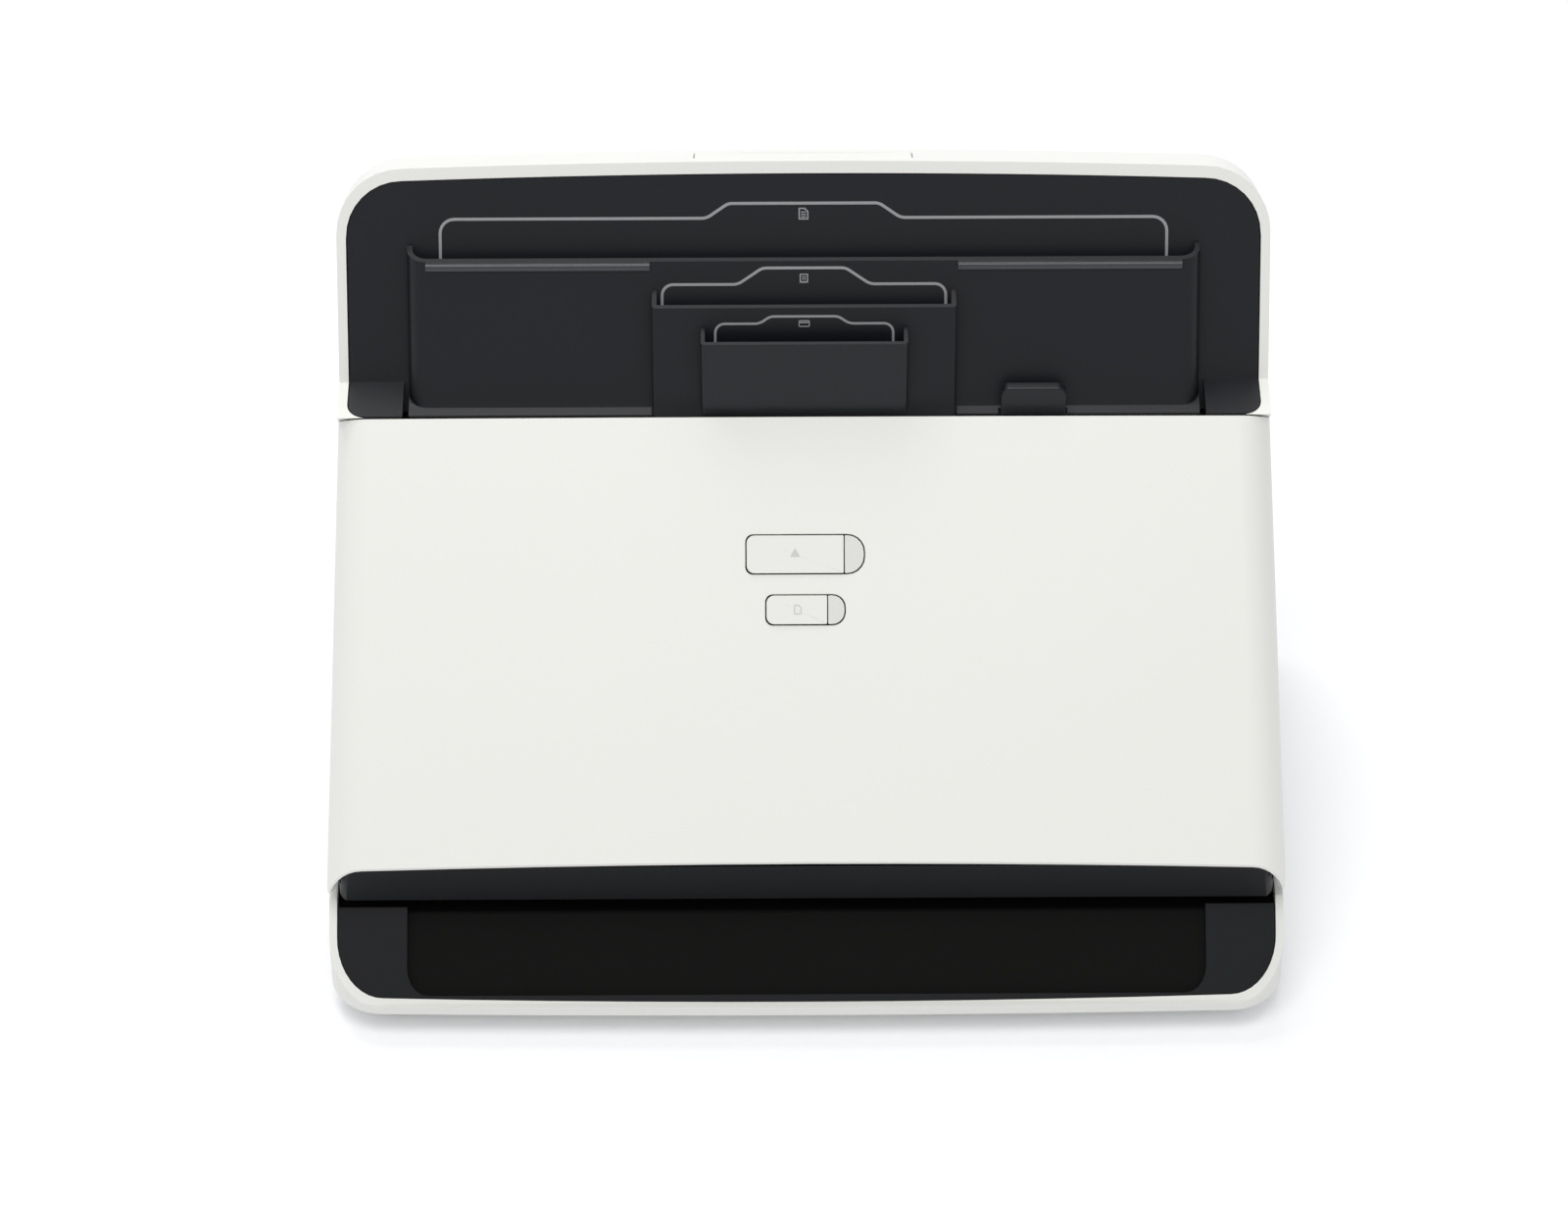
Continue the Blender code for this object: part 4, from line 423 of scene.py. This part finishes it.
support_face = slope_frame(SUPPORT_BACK, POCKETS_UP, *PAPER_RISE)
document_face = slope_frame(DOCUMENT_BACK, POCKETS_UP, *PAPER_RISE)
receipt_face = slope_frame(RECEIPT_BACK, POCKETS_UP, *RECEIPT_RISE)
cover_face = slope_frame(COVER_FOOT_BACK, COVER_FOOT_UP, math.cos(COVER_ANGLE), math.sin(COVER_ANGLE))

# The lip with the painted highlight, in mm: how far its bead stands out of the pocket's face, and where it starts
# at the sides.
LIP_OUT = 0.3
LIP_FROM_X = 40.5
lip_way = document_face.to_3x3() @ Vector((0.0, 0.0, 1.0))


def on_lip_highlight(place, way):
    """A face of the bead along the head of the widest pocket, which gets the painted highlight."""
    start = document_face.translation
    return (place - start).dot(lip_way) > LIP_OUT * MM and place.z > start.z and abs(place.x) > LIP_FROM_X * MM


# The bead's faces take the lighter grey: a painted highlight.
coated(document_pocket, lip_highlight_abs, on_lip_highlight)

# In mm: the film of ink, and how high it lies on a pocket's face and on a key, which stands out of the cover.
INK_FILM = 0.06
PRINT_LIFT = 0.02
KEY_PRINT_LIFT = 0.51


def sheet(name, width, height, x=0.0, y=0.0):
    """A flat rectangle about a centre, in mm, left in edit mode."""
    bpy.ops.object.select_all(action='DESELECT')
    bpy.ops.mesh.primitive_plane_add(size=1.0)
    piece = bpy.context.object
    piece.name = piece.data.name = name
    bpy.ops.object.mode_set(mode='EDIT')
    spread_out(width, height, x, y)
    return piece


def spread_out(width, height, x, y):
    """Sizes and moves what is selected in edit mode, in mm."""
    bpy.ops.transform.resize(value=(width * MM, height * MM, 1.0), center_override=(0.0, 0.0, 0.0))
    bpy.ops.transform.translate(value=(x * MM, y * MM, 0.0))


def bar(width, height, x, y):
    """Adds a flat bar about a centre, in mm, to the piece in edit mode."""
    bpy.ops.mesh.select_all(action='DESELECT')
    bpy.ops.mesh.primitive_plane_add(size=1.0)
    spread_out(width, height, x, y)


def hollowed(piece, line):
    """Leaves only a line of a width in mm along the outline of the one face in edit mode."""
    bpy.ops.mesh.select_all(action='SELECT')
    bpy.ops.mesh.inset(thickness=line * MM)
    bpy.ops.mesh.delete(type='FACE')


def printed(piece, face, lift, body, material):
    """Gives a flat mark its film of ink, lays it on a face at a height in mm and hangs it on a body."""
    bpy.ops.object.mode_set(mode='OBJECT')
    alone(piece)
    film = piece.modifiers.new("film", 'SOLIDIFY')
    film.thickness = INK_FILM * MM
    film.offset = 0.0
    bpy.ops.object.modifier_apply(modifier=film.name)
    return placed(piece, face @ Matrix.Translation((0.0, 0.0, lift * MM)), body, material)


def marked(piece, face, x, along, lift, body, material):
    """Prints a mark at a place on a face, in mm."""
    return printed(piece, face @ Matrix.Translation((x * MM, along * MM, 0.0)), lift, body, material)


def placed(piece, frame_at, body, material):
    """Puts a finished piece at a frame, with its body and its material."""
    piece.matrix_world = frame_at
    alone(piece)
    bpy.ops.object.transform_apply(location=True, rotation=True, scale=True)
    piece.data.materials.clear()
    piece.data.materials.append(material)
    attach(piece, body)
    return piece


# For a tab's outline, in mm: how near a point counts as on a line, and the round at both ends of its slopes.
NEAR = 0.1
SLOPE_ROUND = 1.1


def tab_line(name, face, body, half, shoulder, top, slope_half, top_half, corner, line, foot):
    """The printed outline of an index tab: round shoulders and a raised middle, open at its foot."""
    piece = sheet(name, 2 * half, shoulder, 0.0, shoulder / 2)
    for x in (-slope_half, slope_half):
        bpy.ops.mesh.select_all(action='SELECT')
        bpy.ops.mesh.bisect(plane_co=(x * MM, 0.0, 0.0), plane_no=(1.0, 0.0, 0.0))
    choose(piece, 'edges', lambda edge: abs(middle(edge).x) < MM and middle(edge).y > (shoulder - NEAR) * MM)
    bpy.ops.mesh.extrude_region_move(TRANSFORM_OT_translate={"value": (0.0, (top - shoulder) * MM, 0.0)})
    bpy.ops.transform.resize(value=(top_half / slope_half, 1.0, 1.0), center_override=(0.0, 0.0, 0.0))
    bpy.ops.mesh.select_all(action='SELECT')
    bpy.ops.mesh.dissolve_faces()
    choose(piece, 'verts',
           lambda vert: abs(vert.co.x) > (half - NEAR) * MM and vert.co.y > (shoulder - NEAR) * MM)
    bpy.ops.mesh.bevel(offset=corner * MM, affect='VERTICES', segments=6)
    choose(piece, 'verts', lambda vert: abs(vert.co.x) < (slope_half + NEAR) * MM and vert.co.y > MM)
    bpy.ops.mesh.bevel(offset=SLOPE_ROUND * MM, affect='VERTICES', segments=3)
    hollowed(piece, line)
    bpy.ops.mesh.select_all(action='SELECT')
    bpy.ops.mesh.bisect(plane_co=(0.0, foot * MM, 0.0), plane_no=(0.0, 1.0, 0.0), clear_inner=True)
    return printed(piece, face, PRINT_LIFT, body, ink)


tab_line("support_tab_line", support_face, "chassis", half=104.4, shoulder=47.6, top=51.85,
         slope_half=27.9, top_half=21.7, corner=4.5, line=0.85, foot=34.0)
tab_line("document_tab_line", document_face, "pocket_insert", half=40.9, shoulder=34.1, top=38.8,
         slope_half=19.0, top_half=12.0, corner=3.5, line=0.8, foot=20.0)
tab_line("receipt_tab_line", receipt_face, "pocket_insert", half=25.7, shoulder=26.05, top=28.2,
         slope_half=12.9, top_half=9.8, corner=3.0, line=0.7, foot=14.0)


def page_outline(name, width, height, fold, line):
    """The outline of a page with a corner folded away, in mm."""
    piece = sheet(name, width, height)
    choose(piece, 'verts', lambda vert: vert.co.x > 0 and vert.co.y > 0)
    bpy.ops.mesh.bevel(offset=fold * MM, affect='VERTICES', segments=1)
    hollowed(piece, line)
    return piece


# Plain pictures of a page, a till slip and a card, where the real tabs have their words.
page = page_outline("page_mark", width=2.8, height=3.4, fold=1.0, line=0.36)
for y in (0.45, -0.25, -0.95):
    bar(width=1.4, height=0.32, x=0.0, y=y)
marked(page, support_face, x=0.0, along=48.4, lift=PRINT_LIFT, body="chassis", material=ink)

# The slip's torn foot has a tooth every 0.8 mm, so its points lie 0.4 mm apart.
TOOTH = 0.4
TOOTH_CUTS = 5
slip = sheet("slip_mark", width=2.4, height=2.8)
choose(slip, 'edges', lambda edge: middle(edge).y < -MM)
bpy.ops.mesh.subdivide(number_cuts=TOOTH_CUTS)
choose(slip, 'verts', lambda vert: vert.co.y < -MM and round(vert.co.x / (TOOTH * MM)) % 2 == 0)
bpy.ops.transform.translate(value=(0.0, TOOTH * MM, 0.0))
hollowed(slip, line=0.32)
for y in (0.5, -0.1):
    bar(width=1.1, height=0.28, x=0.0, y=y)
marked(slip, document_face, x=0.0, along=35.3, lift=PRINT_LIFT, body="pocket_insert", material=ink)

CARD_CORNER = 0.4
card = sheet("card_mark", width=3.2, height=2.0)
bpy.ops.mesh.select_all(action='SELECT')
bpy.ops.mesh.bevel(offset=CARD_CORNER * MM, affect='VERTICES', segments=3)
hollowed(card, line=0.3)
bar(width=2.7, height=0.4, x=0.0, y=0.3)
marked(card, receipt_face, x=0.0, along=25.7, lift=PRINT_LIFT, body="pocket_insert", material=ink)

# A start arrow and a page on the keys, hardly darker than the white around them.
ARROW_RADIUS = 1.7
ARROW_CORNER = 0.35
bpy.ops.object.select_all(action='DESELECT')
bpy.ops.mesh.primitive_circle_add(vertices=3, radius=ARROW_RADIUS * MM, fill_type='NGON',
                                  rotation=(0.0, 0.0, math.radians(-90)))
arrow = bpy.context.object
arrow.name = arrow.data.name = "start_mark"
bpy.ops.object.mode_set(mode='EDIT')
bpy.ops.mesh.select_all(action='SELECT')
bpy.ops.mesh.bevel(offset=ARROW_CORNER * MM, affect='VERTICES', segments=3)
marked(arrow, cover_face, x=-2.9, along=87.7, lift=KEY_PRINT_LIFT, body="scan_key", material=pale_ink)
sheet_mark = page_outline("sheet_mark", width=2.2, height=2.8, fold=0.8, line=0.35)
marked(sheet_mark, cover_face, x=-2.2, along=71.8, lift=KEY_PRINT_LIFT, body="format_key", material=pale_ink)


# ---------------------------------------------------------------- screws

# Shares of a screw head: its round edge of its height, and its cross's length and width of its radius.
HEAD_ROUND = 0.45
CROSS_LONG, CROSS_WIDE = 1.2, 0.3


def screw_head(name, radius, height):
    """A cross-recessed screw head that stands on the origin."""
    bpy.ops.object.select_all(action='DESELECT')
    bpy.ops.mesh.primitive_cylinder_add(vertices=32, radius=radius * MM, depth=height * MM,
                                        location=(0.0, 0.0, height / 2 * MM))
    piece = bpy.context.object
    bpy.ops.object.transform_apply(location=True, rotation=True, scale=True)
    piece.name = piece.data.name = name
    bpy.ops.object.mode_set(mode='EDIT')
    choose(piece, 'edges', lambda edge: is_sharp(edge, shortest=0.0) and middle(edge).z > height / 2 * MM)
    bpy.ops.mesh.bevel(offset=height * HEAD_ROUND * MM, segments=4, profile=0.6)
    bpy.ops.object.mode_set(mode='OBJECT')
    for width, depth in ((CROSS_LONG, CROSS_WIDE), (CROSS_WIDE, CROSS_LONG)):
        bpy.ops.object.select_all(action='DESELECT')
        bpy.ops.mesh.primitive_cube_add(size=1.0)
        blade = bpy.context.object
        blade.matrix_world = (Matrix.Translation((0.0, 0.0, height * MM))
                              @ Matrix.Diagonal((width * radius * MM, depth * radius * MM, height * MM, 1.0)))
        trimmed(piece, blade)
    smoothed(piece)
    return piece


def turned_copy(piece, name, frame_at):
    """A copy of a piece with its own mesh, put in place."""
    made = bpy.data.objects.new(name, piece.data.copy())
    bpy.context.scene.collection.objects.link(made)
    made.matrix_world = frame_at
    alone(made)
    bpy.ops.object.transform_apply(location=True, rotation=True, scale=True)
    return made


half_turn = Matrix.Rotation(math.pi, 4, 'X')
wide_screw = screw_head("base_screw_head", radius=2.6, height=1.0)
for number in range(1, 5):
    low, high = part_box(f"base_screw_{number}")
    seat = Matrix.Translation(((low.x + high.x) / 2, (low.y + high.y) / 2, high.z))
    head = turned_copy(wide_screw, f"base_screw_head_{number}", seat @ half_turn)
    stands_for(head, f"base_screw_{number}", zinc)
bpy.data.objects.remove(wide_screw)

# The small screws in mm: across and along the cover's slope, under its face; across, back and up on the board.
COVER_SCREWS = ((-108.0, 108.0), (16.97, 101.95))
COVER_SCREW_DEEP = 15.25
BOARD_SCREWS = ((-92.0, -8.0), (97.98, 153.98))
BOARD_UP = 10.6
small_screw = screw_head("small_screw_head", radius=2.1, height=1.2)
for number, (x, along) in enumerate(itertools.product(*COVER_SCREWS), 1):
    seat = cover_face @ Matrix.Translation((x * MM, along * MM, -COVER_SCREW_DEEP * MM)) @ half_turn
    head = turned_copy(small_screw, f"cover_screw_{number}", seat)
    placed(head, Matrix.Identity(4), "front_cover", zinc)
for number, (x, back) in enumerate(itertools.product(*BOARD_SCREWS), 1):
    head = turned_copy(small_screw, f"board_screw_{number}", Matrix.Translation(spot(x, back, BOARD_UP)))
    placed(head, Matrix.Identity(4), "chassis", zinc)
bpy.data.objects.remove(small_screw)


# ---------------------------------------------------------------- paper path and drive

TYRE_ROUND = (0.4, 2)
SINGLE_TYRE_ROUND = (0.5, 2)
MOTOR_ROUND = (1.2, 3)
# What lies within these radii of the axis, in mm, is shaft.
ROLLER_SHAFT, IDLER_SHAFT = 4.0, 1.9
# The stepped ends of the motor: an inset and a step outwards, in mm, on faces over an area in m2.
MOTOR_STEPS = ((3.0, -0.7), (4.0, 0.7))
MOTOR_END_AREA = 0.00002

for name, skin, shaft in (("feed_rollers", rubber, ROLLER_SHAFT), ("exit_rollers", rubber, ROLLER_SHAFT),
                          ("feed_idlers", grey_acetal, IDLER_SHAFT), ("exit_idlers", grey_acetal, IDLER_SHAFT)):
    low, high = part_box(name)
    middle_y, middle_z = (low.y + high.y) / 2, (low.z + high.z) / 2
    tyres = moulded(name, (*TYRE_ROUND, everywhere), material=skin)
    coated(tyres, zinc, lambda place, way: math.hypot(place.y - middle_y, place.z - middle_z) < shaft * MM)
for name in ("pick_roller", "separation_roller"):
    moulded(name, (*SINGLE_TYRE_ROUND, everywhere))
motor = moulded("drive_motor", (*MOTOR_ROUND, everywhere))
alone(motor)
bpy.ops.object.mode_set(mode='EDIT')
for inset, reach in MOTOR_STEPS:
    choose(motor, 'faces', lambda face: face.normal.x > LOOKS_OUT and face.calc_area() > MOTOR_END_AREA)
    bpy.ops.mesh.inset(thickness=inset * MM)
    bpy.ops.mesh.extrude_region_move(TRANSFORM_OT_translate={"value": (reach * MM, 0.0, 0.0)})
bpy.ops.object.mode_set(mode='OBJECT')
smoothed(motor)

# The sensors behind the two panes: a pale light guide beside a dark row of lenses.
# Along the cover's slope and out of its face, in mm; the strips' length, widths and places beside the middle.
SENSORS = (("front", "front_cover", 35.94, -14.38), ("rear", "chassis", 57.02, -20.15))
STRIP_LENGTH = 212.0
GUIDE_WIDTH, GUIDE_ASIDE = 2.6, -2.4
ROW_WIDTH, ROW_ASIDE = 1.2, 1.6
for name, body, along, out in SENSORS:
    guide = sheet(name + "_light_guide", STRIP_LENGTH, GUIDE_WIDTH, y=along + GUIDE_ASIDE)
    printed(guide, cover_face, out, body, lens_grey)
    row = sheet(name + "_lens_row", STRIP_LENGTH, ROW_WIDTH, y=along + ROW_ASIDE)
    printed(row, cover_face, out, body, lens_row)


# ---------------------------------------------------------------- stage, lights, camera

# The stage in metres, its card's matt roughness and glow, and the room's light beside the camera's plain white.
FLOOR_SIZE = 12.0
CARD_ROUGH = 0.9
CARD_GLOW = 0.14
ROOM_LIGHT = 0.53
# The camera fitted to the photograph: its focal length in pixels, the picture's width, and how it is turned.
FOCAL_PIXELS = 5906
PICTURE_WIDTH = 1600
SENSOR_WIDTH = 36.0
CAMERA_PLACE = (-0.0141, -1.2214, 1.226)
CAMERA_DOWN = 43.17
CAMERA_TURN = -0.38


def stage_finish(name, code, lift):
    """A matt surface that shows as plain white to the camera but keeps the shadow."""
    made = bpy.data.materials.new(name)
    made.use_nodes = True
    tree = made.node_tree
    shader = tree.nodes["Principled BSDF"]
    shader.inputs["Base Color"].default_value = linear(code)
    shader.inputs["Roughness"].default_value = CARD_ROUGH
    shader.inputs["Specular IOR Level"].default_value = 0.0
    path = add(tree, "ShaderNodeLightPath")
    glow = add(tree, "ShaderNodeEmission", {"Color": linear("FFFFFF")})
    share = add(tree, "ShaderNodeMath", {1: lift}, {0: path.outputs["Is Camera Ray"]}, operation='MULTIPLY')
    tree.links.new(share.outputs[0], glow.inputs["Strength"])
    total = add(tree, "ShaderNodeAddShader", None, {0: shader.outputs[0], 1: glow.outputs[0]})
    tree.links.new(total.outputs[0], tree.nodes["Material Output"].inputs["Surface"])
    return made


bpy.ops.object.select_all(action='DESELECT')
bpy.ops.mesh.primitive_plane_add(size=FLOOR_SIZE, location=(0.0, 0.0, 0.0))
floor = bpy.context.object
floor.name = "studio_floor"
floor.data.materials.append(stage_finish("white_card", "F4F5F8", CARD_GLOW))

world = bpy.data.worlds.new("studio")
bpy.context.scene.world = world
world.use_nodes = True
sky = world.node_tree
back = sky.nodes["Background"]
back.inputs["Color"].default_value = linear("FFFFFF")
ray = add(sky, "ShaderNodeLightPath")
seen = add(sky, "ShaderNodeMath", None,
           {0: ray.outputs["Is Camera Ray"], 1: ray.outputs["Is Transmission Ray"]}, operation='MAXIMUM')
level = add(sky, "ShaderNodeMapRange", {"To Min": ROOM_LIGHT, "To Max": 1.0}, {"Value": seen.outputs[0]})
sky.links.new(level.outputs["Result"], back.inputs["Strength"])


def lamp(name, place, aim, width, depth, power):
    """A white softbox in metres and watts, turned to a point."""
    data = bpy.data.lights.new(name, 'AREA')
    data.shape = 'RECTANGLE'
    data.size = width
    data.size_y = depth
    data.energy = power
    made = bpy.data.objects.new(name, data)
    bpy.context.scene.collection.objects.link(made)
    made.location = place
    made.rotation_euler = (Vector(aim) - Vector(place)).to_track_quat('-Z', 'Y').to_euler()


lamp("key_softbox", place=(-0.15, -0.5, 2.05), aim=(0.0, 0.0, 0.08), width=1.3, depth=1.0, power=15.8)
lamp("back_softbox", place=(-0.3, 0.95, 1.75), aim=(0.0, 0.0, 0.1), width=1.2, depth=0.6, power=12.0)

view = bpy.data.cameras.new("photo_view")
view.sensor_fit = 'HORIZONTAL'
view.sensor_width = SENSOR_WIDTH
view.lens = FOCAL_PIXELS * SENSOR_WIDTH / PICTURE_WIDTH
camera = bpy.data.objects.new("photo_view", view)
bpy.context.scene.collection.objects.link(camera)
camera.location = CAMERA_PLACE
camera.rotation_euler = (math.radians(90 - CAMERA_DOWN), 0.0, math.radians(CAMERA_TURN))
bpy.context.scene.camera = camera
bpy.context.scene.view_settings.view_transform = 'Standard'
